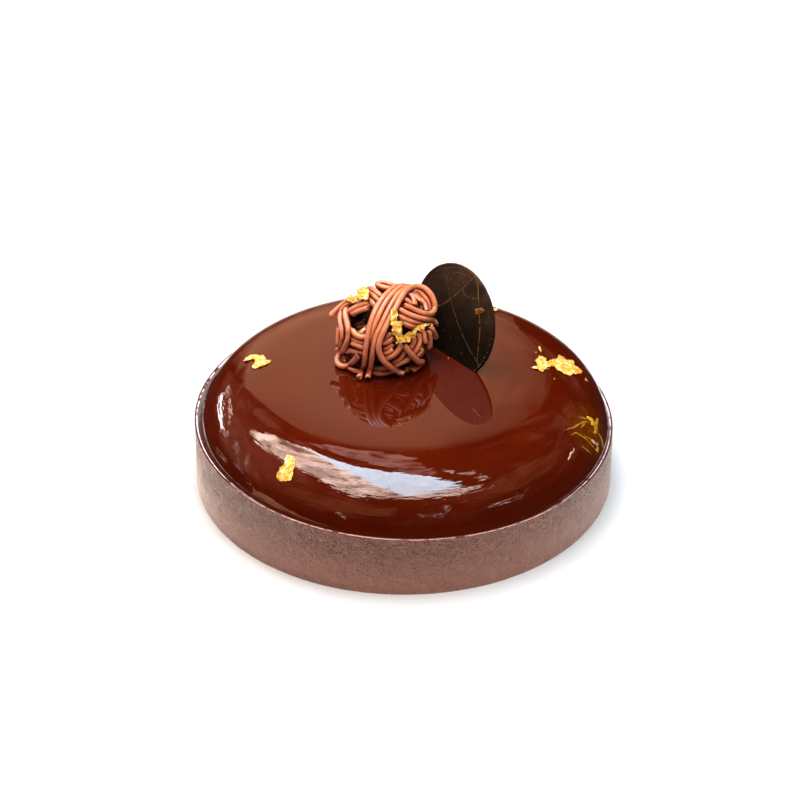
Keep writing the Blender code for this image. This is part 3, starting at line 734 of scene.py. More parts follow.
front_strands = [
    [(7.3, 19, 0.9), (4.2, 18.2, 1), (1.3, 16.3, 1.05), (-1.1, 13.3, 1.1), (-3.2, 10.1, 1.1),
     (-4.8, 6.8, 1.1), (-6.1, 3.2, 1.1), (-7.1, -0.6, 1.1), (-7.8, -4.5, 1.1), (-8.4, -8.7, 1.1),
     (-8.9, -13, 1), (-9.8, -16.8, 0.8), (-11, -19.7, 0.5), (-11.9, -20.7, 0.4)],
    [(9.6, 18.9, 0.95), (6.4, 18.1, 1), (3.5, 15.8, 1.05), (1, 12.8, 1.05), (-1.3, 9.1, 1.05),
     (-3.2, 5, 1.05), (-4.7, 1.1, 1), (-5.7, -2.4, 0.85), (-6.1, -4.9, 0.5)],
    [(11.7, 18.8, 0.9), (8.6, 17.9, 1), (5.6, 15.4, 1.05), (3.5, 12.4, 1.05), (1.5, 8.9, 1.05),
     (-0.4, 5, 1.05), (-2.2, 1.1, 1.05), (-3.8, -2.4, 1.05), (-4.8, -5.9, 1.05),
     (-5.5, -9.4, 1.05), (-6.1, -13, 1), (-6.9, -17.2, 0.8), (-7.8, -20.7, 0.6)],
    [(7.3, -19.1, 0.5), (4.9, -17.7, 0.8), (2, -16, 1), (-0.6, -13.8, 1.1), (-2.4, -11.2, 1.1),
     (-3.2, -8, 1.1), (-2.6, -4.9, 1.1), (-1, -1, 1.1), (1, 2.9, 1.1), (2.7, 6.4, 1.1),
     (4.5, 9.9, 1.1), (6.3, 13.5, 1.15), (8, 16.1, 1.2), (10.5, 18.2, 1.2), (13.7, 19, 1.2),
     (16.8, 18, 1.1), (19.3, 15.2, 1.05), (20.6, 12.1, 1), (20.6, 9.2, 1), (19.3, 7.2, 1),
     (16.8, 6.6, 1), (13.3, 7.5, 0.95), (9.8, 9.1, 0.9), (7, 10.1, 0.8)],
    [(10.9, 16.6, 0.7), (13.3, 16.9, 0.8), (15.8, 15.2, 0.8), (17.6, 12.8, 0.8), (18.6, 9.6, 0.7),
     (18.7, 7.8, 0.5)],
    [(11.6, 15.2, 0.4), (13.7, 14.8, 0.5), (15.4, 12.8, 0.5), (16.6, 10.3, 0.5), (17.3, 8, 0.4)],
    [(9.1, 15.1, 0.4), (10.9, 14.1, 0.6), (11.8, 12.1, 0.6), (12, 9.9, 0.4)],
    [(10.1, 15.8, 0.2), (12.3, 14.5, 0.4), (13.7, 12.9, 0.5), (14.2, 11.5, 0.4)],
    [(7.7, 12.8, 0.4), (9.3, 11.7, 0.5), (10.7, 10.1, 0.3)],
    [(5.7, 8.2, 0.7), (8, 6.9, 0.8), (10.5, 5.8, 0.9), (14, 4.8, 0.9), (17.2, 4.5, 0.8),
     (20, 4.7, 0.6)],
    [(5.2, 5.4, 0.3), (8.4, 4, 0.4), (12.3, 2.8, 0.4), (15.4, 2.5, 0.3)],
    [(7.3, 2.5, 0.1), (10.1, 1.3, 0.3), (13.3, 0.6, 0.2)],
    [(-14.7, 11.7, 0.9), (-17.2, 10.3, 1), (-19, 8.2, 1), (-19.6, 5.4, 1), (-19.2, 2.2, 1),
     (-18.5, -1, 1), (-18.6, -4.2, 1), (-19.8, -7, 1), (-21.2, -8.7, 0.9)],
    [(-16.5, 9.6, 0.8), (-17.3, 7.5, 1), (-17.1, 4.7, 1), (-16.3, 1.5, 1), (-15.9, -1.7, 1),
     (-16.3, -4.5, 1), (-17.5, -7.3, 1), (-19.3, -9.4, 1), (-20.7, -11.2, 1), (-21.1, -13, 1),
     (-20.3, -14.7, 1), (-18.4, -15.8, 1), (-16.1, -15.1, 1.1), (-14, -13.5, 1.1),
     (-11.7, -11.2, 1.2)],
    [(-20, 1.1, 0.3), (-20.4, -2.4, 0.4), (-20.4, -5.9, 0.4)],
    [(-7.1, 11.2, 0.5), (-9.9, 10.5, 0.7), (-13.1, 9.2, 0.7), (-15.4, 7.8, 0.5), (-16.5, 6.1, 0.2)],
    [(-6.8, 9.2, 0.3), (-9.2, 8.5, 0.4), (-12.1, 7.7, 0.4), (-14.5, 6.3, 0.2)],
    [(-7.5, 18.1, 0.4), (-5.7, 17.2, 0.8), (-3.6, 15.2, 0.8), (-1.3, 13.3, 0.3)],
    [(-7.6, 15.8, 0.3), (-5.7, 14.5, 0.6), (-3.6, 12.4, 0.5), (-2, 11, 0.2)],
    [(-7.5, 12.8, 0.3), (-5.7, 11, 0.5), (-3.9, 9.2, 0.2)],
    [(4.9, 18.3, 0.8), (1.7, 19.3, 1), (-0.4, 20.1, 1.1), (-2.4, 20.2, 1.1), (-3.7, 19.7, 1.1),
     (-3.2, 18.8, 0.9), (-1.1, 18, 0.8), (1.7, 17.4, 0.5)],
    [(-15.9, 12.5, 0.8), (-17.7, 11.9, 1), (-20.9, 9.4, 1), (-24.3, 6.2, 1)],
    [(-14.3, -0.1, 0.5), (-13.3, -2, 0.7), (-11.3, -3.3, 0.7), (-9.1, -3.6, 0.5),
     (-6.4, -3.3, 0.1)],
    [(-14.7, -3.1, 0.2), (-12.8, -4.7, 0.4), (-10.6, -5.6, 0.4), (-8.5, -5.9, 0.2)],
    [(-14.7, -5.4, 0.5), (-13.1, -6.4, 0.6), (-10.6, -7.5, 0.6), (-8.2, -8, 0.3)],
    [(-16.6, -8.9, 0.4), (-15.2, -8.7, 0.6), (-12.8, -9.4, 0.6), (-9.9, -9.8, 0.4),
     (-7.1, -9.4, 0.1)],
    [(-18.2, -10.8, 0.1), (-17.7, -13, 0.2), (-16.6, -14.4, 0.2)],
    [(-17, -10.8, 0.3), (-15.2, -12.6, 0.4), (-13.1, -14.4, 0.2)],
    [(-13.1, -14.4, 0.3), (-11.3, -15.8, 0.4), (-9.2, -16.5, 0.3)],
    [(-14.7, -16.8, 0.4), (-12.8, -17.6, 0.5), (-10.6, -18.2, 0.4)],
    [(-5.7, -16.1, 0.1), (-2.2, -16.5, 0.2), (1.3, -15.8, 0.2)],
    [(-5.7, -18.2, 0.4), (-2.2, -18.8, 0.5), (1.7, -17.9, 0.5), (4.5, -16.5, 0.3)],
    [(-1.5, -4.5, 0), (0.3, -3.4, 0.2), (2, -1.7, 0.2)],
    [(-1.7, -6.3, 0.2), (0.6, -5.6, 0.4), (2.7, -4.2, 0.3)],
    [(-1.8, -8.7, 0), (0.6, -7.9, 0.2), (2.7, -6.3, 0.1)],
    [(-1.5, -10.8, 0.3), (1, -9.8, 0.5), (3.5, -8.4, 0.5)],
    [(-0.8, -12.5, 0.5), (1.7, -11.8, 0.7), (4.2, -10.2, 0.8), (5.9, -8, 0.8), (7, -6.3, 0.6)],
    [(2, -14.1, 0.2), (4.9, -13, 0.4), (7, -10.8, 0.4), (7.7, -8.7, 0.3)],
    [(3.1, -15.5, 0.5), (5.9, -14.4, 0.7), (8.4, -13.1, 0.7), (10.1, -11.6, 0.5)],
    [(7.7, -17.6, 0.3), (9.4, -16.9, 0.5), (11.6, -15.4, 0.5), (13.3, -13.8, 0.3)],
    [(10.9, -17.5, 0), (13, -16.1, 0.2), (14.4, -14.4, 0.1)],
    [(7.7, -7, 0.8), (9.6, -9.4, 1), (11.9, -11.9, 1.1), (13.8, -13.5, 1.1), (15.4, -13.5, 1.1)],
    [(18.6, 1.8, 0.6), (19.7, 0.1, 0.9), (21.4, -2.9, 1)],
    [(15.8, -0.6, 0.5), (16, -3.1, 0.7), (16.7, -6.3, 0.9)],
    [(17.9, -0.3, 0.6), (18.6, -3.8, 0.7), (18.4, -7.7, 0.8)],
    [(13.5, -1.7, 0.2), (14.2, -4.5, 0.4), (13.5, -7.3, 0.5), (11.6, -9.8, 0.5),
     (10.1, -11.2, 0.3)],
    [(12.3, -10.8, 0.5), (14, -10.1, 0.7), (15.3, -8, 0.7)],
    [(10.5, -2.4, 0), (11.9, -4.5, 0.1), (10.9, -7.3, 0.1), (9.1, -9.1, 0)],
    [(19.7, 4.7, 0.6), (20.9, 3.8, 0.8), (21.1, 2.7, 0.9)],
    [(-14.5, 0.7, -1.8), (-12.3, 2.0, -1.7), (-8.9, 3.2, -1.9)],
    [(-14.9, -0.6, -1.6), (-11.7, 0.6, -1.7), (-8.4, 1.2, -1.8)],
]
print(len(front_strands), "strands drawn")

# %% [markdown]
# The other strands follow rules. A ring is a turn round the ball at one latitude, tipped a
# little, and a loop is a part of a circle that leans, from the top down the front. Both are
# left out where the ball is open, and lie deeper in front, so that the drawn strands stand
# out. A seeded draw keeps the result the same each time.


# %% Write the rules for rings and loops
draw = random.Random(23)
windows = [(-11.2, 4.7, 4.6, 3.4), (9.5, -0.6, 3.8, 2.6)]


def arc(start, sweep):
    """Angles over a sweep in degrees, in steps of about 12 degrees."""
    count = int(sweep / 12) + 1
    return [math.radians(start + sweep * step / count) for step in range(count + 1)]


def above_glaze(point):
    point.z = max(point.z, LOWEST)
    return point


def ring(latitude, radius, start, sweep, tip):
    axis = Vector((draw.uniform(-tip, tip) - 0.12, draw.uniform(-tip, tip), 1)).normalized()
    tipped = Vector((0, 0, 1)).rotation_difference(axis)
    phase = draw.uniform(0, math.tau)
    wide, high = math.cos(math.radians(latitude)), math.sin(math.radians(latitude))
    stations = []
    for angle in arc(start, sweep):
        point = tipped @ Vector((math.cos(angle) * wide, math.sin(angle) * wide, high))
        stations.append(above_glaze(point * (radius + 0.5 * MM * math.sin(2 * angle + phase))))
    return stations


def loop(radius, lean, turn, start, sweep):
    """Part of a circle that leans away from the vertical and is turned about it."""
    turned = Matrix.Rotation(math.radians(turn), 3, "Z")
    spin = turned @ Matrix.Rotation(math.radians(lean), 3, "Y")
    points = [Vector((0, math.cos(angle), math.sin(angle))) for angle in arc(start, sweep)]
    return [above_glaze(spin @ point * radius) for point in points]


def sunk(stations):
    """Sets the front part of a hidden strand deeper."""
    front = 0.3 * BALL_RADIUS
    return [point * (0.87 if point.dot(to_viewer) > front else 1.0) for point in stations]


def in_window(point):
    right, up = point.x / MM, point.dot(tilt_up) / MM
    open_here = [((right - x) / w) ** 2 + ((up - y) / h) ** 2 < 1 for x, y, w, h in windows]
    return point.dot(to_viewer) > 0 and any(open_here)


def cut_open(stations):
    """The parts of a strand that are left outside the openings of the ball."""
    runs = [[]]
    for point in stations:
        if in_window(point):
            runs.append([])
        else:
            runs[-1].append(point)
    return [run for run in runs if len(run) > 2]


print(len(windows), "openings in the ball")

# %% [markdown]
# Each rule for rings says at which latitudes they lie, how far out, where they start and how
# much that varies, how far they go round, and how much they are tipped. The first two close
# the ball all round, and the others lie over its back.

# %% Wind the rings and the loops
outside = BALL_RADIUS + 0.6 * LAYER
ring_rules = [
    (range(-34, 22, 9), BALL_RADIUS - 0.6 * MM, 0, (0, 360), 350, 0.06),
    (range(-30, 40, 12), BALL_RADIUS - 3.0 * MM, 0, (0, 360), 340, 0.12),
    ((28, 38, 48, 59, 71), BALL_RADIUS - 0.4 * MM, -10, (-12, 12), 200, 0.08),
    ((-26, -12, 2, 16), outside, 25, (-20, 20), 120, 0.2),
]
hidden = []
for latitudes, radius, start, varies, sweep, tip in ring_rules:
    for latitude in latitudes:
        hidden.append(ring(latitude, radius, start + draw.uniform(*varies), sweep, tip))
for lean, turn, start in ((12, 15, 95), (-14, -20, 100), (20, 50, 95), (-24, -55, 110)):
    hidden.append(loop(outside, lean, turn, start, 85))
strands = [[on_ball(*station) for station in stations] for stations in front_strands]
for stations in hidden:
    strands += cut_open(sunk(stations))
print(len(strands), "strands in all")

# %% [markdown]
# Strands that are drawn one by one run through each other, and real ones lie on each other.
# So each path is cut into short steps, and every step is pushed away from the steps of other
# strands that are nearer than about one thickness, a little at a time, and then evened out
# along its own strand. A drawn strand gives way less than the others, and only towards the
# viewer or away, so that it keeps its place in the picture.


# %% Cut the paths into even steps
STEP = 0.75 * MM


def even_path(stations, spacing):
    """Points at even spacing on a smooth curve through the stations."""
    ends = [stations[0] * 2 - stations[1], *stations, stations[-1] * 2 - stations[-2]]
    fine = []
    for before, start, end, after in zip(ends, ends[1:], ends[2:], ends[3:]):
        slope, bend = end - before, 2 * before - 5 * start + 4 * end - after
        twist = 3 * start - before - 3 * end + after
        for t in (step / 12 for step in range(12)):
            fine.append(0.5 * (2 * start + slope * t + bend * t**2 + twist * t**3))
    fine.append(stations[-1])
    lengths = [(b - a).length for a, b in zip(fine, fine[1:])]
    travelled = np.concatenate([[0], np.cumsum(lengths)])
    wanted = np.linspace(0, travelled[-1], max(4, round(travelled[-1] / spacing)) + 1)
    return np.stack([np.interp(wanted, travelled, [p[k] for p in fine]) for k in range(3)], axis=1)


paths = [even_path(stations, STEP) for stations in strands]
owner = np.concatenate([[number] * len(path) for number, path in enumerate(paths)])
starts = np.concatenate([[0], np.cumsum([len(path) for path in paths])])
steps = np.concatenate(paths)
print(len(steps), "steps")

# %% [markdown]
# Each round of easing looks for touching steps, pushes them, and smooths the paths.

# %% Ease the strands apart
ROUNDS = 14
TOUCHING = 1.9 * STRAND_RADIUS
LONGEST_PUSH = 0.4 * MM
HIGHEST = 20.5 * MM
drawn = owner < len(front_strands)
weight = np.where(drawn, 0.1, 1.0)
view = np.array(to_viewer)
for _ in range(ROUNDS):
    tree = KDTree(len(steps))
    for number, place in enumerate(steps):
        tree.insert(place, number)
    tree.balance()
    push = np.zeros_like(steps)
    for number, place in enumerate(steps):
        for _, index, distance in tree.find_range(place, TOUCHING):
            apart = owner[index] != owner[number] and not (drawn[index] and drawn[number])
            if apart and distance > 1e-6:
                share = weight[number] / (weight[number] + weight[index])
                away = (place - steps[index]) / distance
                push[number] += away * (TOUCHING - distance) * share * 0.5
    push[drawn] = np.outer(push[drawn] @ view, view)
    reach = np.linalg.norm(push, axis=1, keepdims=True)
    steps += push * np.minimum(1, LONGEST_PUSH / np.maximum(reach, 1e-9))
    for first, last in zip(starts, starts[1:]):
        run = steps[first:last]
        even = 0.3 * ((run[:-2] + run[2:]) / 2 - run[1:-1])
        run[1:-1] += np.outer(even @ view, view) if drawn[first] else even
    steps[:, 2] = np.clip(steps[:, 2], LOWEST, HIGHEST)
paths = [steps[first:last] for first, last in zip(starts, starts[1:])]
print(len(steps), "steps eased in", ROUNDS, "rounds")

# %% [markdown]
# A tube is a circle of points that is carried along a path without turning about it. Its
# width wavers a little, as a piping bag gives it, and its ends are torn off and rounded.


# %% Sweep the tubes
def strand_mesh(paths, sides=14):
    points, faces = [], []
    for path in paths:
        size = STRAND_RADIUS * draw.uniform(0.92, 1.02)
        torn = draw.uniform(0.6, 1.0)
        along = np.gradient(path, axis=0)
        along /= np.linalg.norm(along, axis=1, keepdims=True)
        side = np.cross(along[0], (0.31, 0.22, 0.92))
        first = len(points)
        last = first + (len(path) - 1) * sides
        for step, place in enumerate(path):
            side = side - along[step] * np.dot(side, along[step])
            side /= np.linalg.norm(side)
            up = np.cross(along[step], side)
            near_end = min(step, len(path) - 1 - step)
            width = size * (1 + 0.02 * noise.noise(Vector(place) * 250))
            width *= (0.97, 1.02, 1.04)[near_end] if near_end < 3 else 1
            for cosine, sine in circle(sides):
                out = side * cosine + up * sine
                spot = place + out * width
                if near_end < 2:
                    ragged = noise.noise(Vector(spot) * 620) * torn * (2.6, 0.9)[near_end] * MM
                    pulled = ragged if step > 1 else -ragged
                    spot = spot + along[step] * pulled + out * 0.3 * ragged
                points.append(BALL_CENTRE + Vector(spot))
        for start in range(first, last, sides):
            faces += between(start, start + sides, sides)
        for start, inward, direction in ((first, 0, 1), (last, -1, -1)):
            middle = Vector(path[inward]) + Vector(along[inward]) * direction * 0.35 * MM
            points.append(BALL_CENTRE + middle)
            for turn in range(sides):
                faces.append((start + turn, start + (turn + 1) % sides, len(points) - 1))
    return mesh_of("piped_strands", points, faces)


cream_finish = Finish("chestnut_cream", (0.46, 0.125, 0.045), 0.42, Specular_IOR_Level=0.6)
piped_strands = piece("piped_strands", strand_mesh(paths), cream_finish.material)
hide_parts("strand_nest")

# %% [markdown]
# The cream is soft and a little waxy: light goes a short way into it, and a thin coat gives a
# blurred shine. It is darker deep in the ball and in the gaps between the strands, where
# little light gets in, so the colour is also led by the distance from the centre and by how
# much open air there is round a point.

# %% Colour the cream
cream_finish.set("Subsurface Weight", 0.06)
cream_finish.set("Subsurface Scale", 0.002)
cream_finish.set("Subsurface Radius", (1.0, 0.45, 0.25))
cream_finish.set("Coat Weight", 0.4)
cream_finish.set("Coat Roughness", 0.25)
GAP_STOPS = [
    (0.25, (0.02, 0.001, 0.0002)),
    (0.6, (0.42, 0.15, 0.07)),
    (0.85, (0.88, 0.74, 0.62)),
    (1.0, (1, 1, 1)),
]


def cream_nodes(f):
    tone = f.ramp(f.noise(160, 4.0), [(0.3, (0.61, 0.185, 0.068)), (0.7, (0.81, 0.3, 0.15))])
    depth = f.vectors("DISTANCE", f.place(), tuple(BALL_CENTRE))[1]
    outer = f.blend(f.fade(depth, 0.0165, 0.0208), (0.07, 0.008, 0.0015), tone)
    open_air = f.node("ShaderNodeAmbientOcclusion", {"Distance": 0.0035}, samples=6).outputs["AO"]
    f.plug(f.vectors("MULTIPLY", outer, f.ramp(open_air, GAP_STOPS))[0], "Base Color")
    f.bump(f.noise(1500, 4.0), 0.00005, 0.5)
    f.report()


cream_nodes(cream_finish)

# %% [markdown]
# The hollow inside the ball shows dark between the strands. A small ball of the same cream,
# painted dark as shade, sits well inside the strands and stops the light from shining through
# from behind.

# %% Fill the middle
MIDDLE_RADIUS = 11.0 * MM


def lumpy_ball(shape):
    bmesh.ops.create_icosphere(shape, subdivisions=5, radius=MIDDLE_RADIUS)
    for vertex in shape.verts:
        vertex.co *= 1 + 0.08 * noise.noise(vertex.co * 220)
        vertex.co += BALL_CENTRE


# Its dark colour is painted shade.
hollow_shade_finish = Finish("shaded_cream", (0.03, 0.012, 0.007), 0.9)
hollow_shade_finish.bump(hollow_shade_finish.noise(900, 3.0), 0.0002, 0.6)
middle = edit(bpy.data.meshes.new("ball_middle"), lumpy_ball)
piece("ball_middle", middle, hollow_shade_finish.material)

# %% [markdown]
# ## The dark chocolate disc
# The disc is tempered dark chocolate, cast thin on a crumpled sheet of plastic, which left
# fine raised lines and a cloudy face. It is a round plate in its own plane, which leans back
# and is pushed into the glaze, so it is built flat, with a broken edge, and turned into place.

# %% Make the disc
DISC_RADIUS = 24.8 * MM
DISC_THICKNESS = 1.5 * MM
turn = math.radians(-49.8)
lean = math.radians(14.4)
along = Vector((math.cos(turn), math.sin(turn), 0))
upward = Vector((0, 0, 1)) * math.cos(lean) + Vector((0, 0, 1)).cross(along) * math.sin(lean)
stand = Matrix((along, upward, along.cross(upward))).transposed().to_4x4()
stand.translation = Vector((21.9, 21.4, 63.4)) * MM


def face_relief(x, y):
    """How far the face stands out at (x, y) in millimetres, in metres."""
    swell = noise.noise(Vector((x, y, 3)) * 0.11) + 0.5 * noise.noise(Vector((x, y, 9)) * 0.35)
    return 0.1 * MM * (swell - 0.7)


def disc_mesh(turns=260, rings=70):
    points, faces = [], []
    edge = rings * turns
    for side in (1, -1):
        first = len(points)
        for ring_number in range(rings + 1):
            share = 1 - (1 - ring_number / rings) ** 1.5
            for cosine, sine in circle(turns):
                spot = Vector((cosine, sine, 0))
                broken = 0.25 * noise.noise(spot * 9) + 0.35 * min(0, noise.noise(spot * 31) + 0.25)
                radius = share * (DISC_RADIUS / MM + min(0, broken) - 0.05)
                x, y = radius * spot.x, radius * spot.y
                thick = DISC_THICKNESS / 2 + face_relief(x, y)
                thick *= 1 - 0.35 * max(0, (share - 0.985) / 0.015)
                points.append(stand @ Vector((x * MM, y * MM, side * thick)))
        for start in range(first, first + edge, turns):
            faces += between(start, start + turns, turns)
    faces += between(edge, edge + turns + edge, turns)
    mesh = mesh_of("cast_disc", points, faces)
    merge = bmesh.ops.remove_doubles
    return edit(mesh, lambda shape: merge(shape, verts=shape.verts, dist=0.01 * MM))


dark_finish = Finish("dark_chocolate", (0.022, 0.014, 0.009), 0.42, Specular_IOR_Level=0.12)
cast_disc = piece("cast_disc", disc_mesh(), dark_finish.material)
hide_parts("chocolate_disc")

# %% [markdown]
# The face of the disc is cloudy, and painted paler towards its top, in patches, as painted light.

# %% Finish the disc
CLOUD_STOPS = [
    (0.3, (0.005, 0.0042, 0.0022)),
    (0.55, (0.0105, 0.0072, 0.0038)),
    (0.75, (0.026, 0.0165, 0.009)),
]


def dark_nodes(f):
    cloud = f.ramp(f.noise(75, 5.0, distortion=1.5), CLOUD_STOPS)
    # Painted light: paler towards the top of the disc, in patches.
    light_patches = f.fade(f.noise(150, 4.0), 0.35, 0.7, 0.25, 1.0)
    pale = f.times(f.fade(f.axes()[2], 0.06, 0.088), light_patches)
    f.plug(f.blend(pale, cloud, (0.07, 0.042, 0.023)), "Base Color")
    f.bump(f.noise(700, 4.0), 0.00012, 0.5)
    f.report()


dark_nodes(dark_finish)

# %% [markdown]
# The lines are thin grey, tan and copper-coloured ridges that lie on the face. Each is drawn
# by a few stations in millimetres on the disc, and breaks off here and there.

# %% Draw the lines on the disc
grey_lines = [
    [(-11.6, 21.5), (-10.1, 17.3), (-8.1, 13.5), (-5.1, 8.9), (-2.9, 6.0), (0.4, 2.3),
     (5.7, -2.8), (12.1, -7.7), (17.9, -11.0)],
    [(-6.7, 14.9), (-6.7, 17.6), (-5.3, 20.2), (-2.1, 21.3), (1.0, 21.7), (4.4, 22.0)],
    [(0.9, 15.1), (3.5, 13.5), (6.8, 13.4), (10.6, 15.0)],
]
copper_lines = [
    [(6.9, 23.6), (4.6, 20.6), (2.4, 17.3), (-1.0, 12.5), (-4.4, 8.3), (-7.4, 4.8), (-10.5, 2.2),
     (-14.5, 0.2)],
]
tan_lines = [
    [(8.1, 22.9), (9.8, 19.8), (11.1, 16.0), (12.4, 13.5), (13.8, 9.5), (15.6, 4.8), (16.6, 0.6),
     (17.3, -3.8), (17.9, -7.8), (18.5, -12.7)],
    [(18.0, -11.1), (19.9, -12.2), (21.2, -11.8)],
]
# The rim lines are raised ridges along the upper rim whose paler colour is a painted highlight.
rim_highlight_lines = [
    [(-19.3, 7.8), (-18.4, 12.1), (-16.2, 15.8), (-12.8, 18.9), (-8.6, 21.3), (-3.7, 23.0),
     (1.0, 23.5), (4.9, 23.0)],
    [(9.1, 22.5), (12.2, 20.0), (15.3, 16.8), (18.1, 12.9), (20.3, 8.9), (21.7, 4.5), (22.4, 0.1)],
]


def on_disc(x, y, lift):
    """A point on the disc's front face, in millimetres, raised by lift in metres."""
    return stand @ Vector((x * MM, y * MM, DISC_THICKNESS / 2 + face_relief(x, y) + lift))


def line_runs(lines, width, broken):
    """Paths on the disc. A line is left out where a noise is lower than broken."""
    runs = []
    for number, stations in enumerate(lines):
        runs.append([])
        for x, y, _ in even_path([Vector((x, y, 0)) for x, y in stations], 0.4):
            wander = noise.noise(Vector((x * 0.5, y * 0.5, number))) * 0.25
            here = noise.noise(Vector((x * 1.3, y * 1.3, 5 + number)))
            size = width * (1 + 0.6 * here) * MM
            if here < broken:
                runs.append([])
            else:
                runs[-1].append((on_disc(x + wander, y + wander, -0.4 * size), size))
    return [run for run in runs if len(run) > 2]


print(len(line_runs(grey_lines + tan_lines + rim_highlight_lines, 0.1, -0.4)), "stretches of line")

# %% [markdown]
# Every line is swept like a strand, only much thinner and with six sides.


# %% Sweep the lines
def tubes_mesh(name, runs, sides=6):
    """Thin tubes along runs of (point, radius)."""
    points, faces = [], []
    for run in runs:
        first = len(points)
        last = first + (len(run) - 1) * sides
        for step, (place, radius) in enumerate(run):
            ahead = (run[min(step + 1, len(run) - 1)][0] - run[max(step - 1, 0)][0]).normalized()
            side = ahead.cross(Vector((0.3, 0.5, 0.81))).normalized()
            up = ahead.cross(side)
            for cosine, sine in circle(sides):
                points.append(place + (side * cosine + up * sine) * radius)
        for start in range(first, last, sides):
            faces += between(start, start + sides, sides)
        faces += [tuple(range(start, start + sides)) for start in (first, last)]
    return mesh_of(name, points, faces)


def line_piece(name, lines, width, broken, dark, light):
    finish = Finish(name, dark, 0.5)
    finish.plug(finish.ramp(finish.noise(500, 2.0), [(0.4, dark), (0.62, light)]), "Base Color")
    mesh = tubes_mesh(name, line_runs(lines, width, broken))
    piece(name, mesh, finish.material)


line_piece("grey_lines", grey_lines, 0.1, -0.4, (0.06, 0.042, 0.028), (0.16, 0.105, 0.066))
line_piece("copper_lines", copper_lines, 0.12, -0.6, (0.12, 0.05, 0.018), (0.45, 0.19, 0.06))
line_piece("tan_lines", tan_lines, 0.15, -0.35, (0.1, 0.055, 0.018), (0.4, 0.23, 0.07))
# Painted highlight along the rim of the disc.
line_piece("rim_highlight_lines", rim_highlight_lines, 0.11, -0.2, (0.04, 0.028, 0.017), (0.1, 0.068, 0.042))

# %% [markdown]
# ## Gold leaf
# Gold leaf is beaten so thin that it wrinkles as it is laid and tears with a ragged edge. A
# scrap is drawn by its torn outline, in millimetres, and filled with small triangles whose
# corners follow what lies below and are lifted by a chance amount, so that it crumples. It is
# shaded flat, because every little facet of real leaf glints on its own.

# %% Crumple a scrap of leaf
LEAF_THICKNESS = 0.04 * MM
# The leaf's own gold runs at random into dark orange and near white, which are painted reflections
# and glints.
GOLD_GLINT_STOPS = [
    (0.34, (0.56, 0.21, 0.006)),
    (0.45, (0.82, 0.4, 0.025)),
    (0.54, (0.82, 0.52, 0.09)),
    (0.63, (0.76, 0.6, 0.31)),
    (0.7, (0.9, 0.82, 0.72)),
]


def finish_of_gold(name, stops, metallic, roughness):
    made = Finish(name, (0.9, 0.62, 0.2), roughness, Metallic=metallic)
    made.plug(made.ramp(made.noise(650, 2.0), stops), "Base Color")
    made.report()
    return made


def leaf_mesh(number, outline, lay, facet=0.8, crumple=0.8):
    """A torn, crumpled scrap. lay(x, y, lift) puts a point on what is below it."""
    roll = random.Random(100 + number)
    rim = []
    for start, end in zip(outline, outline[1:] + outline[:1]):
        start, end = Vector(start), Vector(end)
        count = max(1, round((end - start).length / facet))
        tear = 0.12 if count == 1 else 0.2
        for step in range(count):
            moved = Vector((roll.uniform(-tear, tear), roll.uniform(-tear, tear)))
            rim.append(start.lerp(end, step / count) + moved)
    low = Vector((min(p.x for p in rim), min(p.y for p in rim)))
    high = Vector((max(p.x for p in rim), max(p.y for p in rim)))
    inner = []
    for row in range(int((high.y - low.y) / facet) + 1):
        for column in range(int((high.x - low.x) / facet) + 1):
            spot = low + Vector((column + roll.random(), row + roll.random())) * facet
            if min((spot - corner).length for corner in rim) > 0.45 * facet:
                inner.append(spot)
    edges = [(k, (k + 1) % len(rim)) for k in range(len(rim))]
    flat, _, faces, _, _, _ = delaunay_2d_cdt(rim + inner, edges, [], 1, 0.001)
    points = []
    for spot in flat:
        fold = abs(noise.noise(Vector((spot.x * 0.35, spot.y * 0.35, number * 3.1))))
        lift = 0.12 + crumple * (0.45 * roll.random() + 1.2 * fold)
        points.append(lay(spot.x, spot.y, lift * MM))
    mesh = mesh_of(f"leaf_{number}", points, faces)
    thicken = bmesh.ops.solidify
    return edit(mesh, lambda shape: thicken(shape, geom=shape.faces, thickness=LEAF_THICKNESS))


gold_finish = finish_of_gold("gold_leaf", GOLD_GLINT_STOPS, 0.12, 0.35)

# %% [markdown]
# The scraps on the glaze are laid on the dome. The one in front lies flatter than the others.

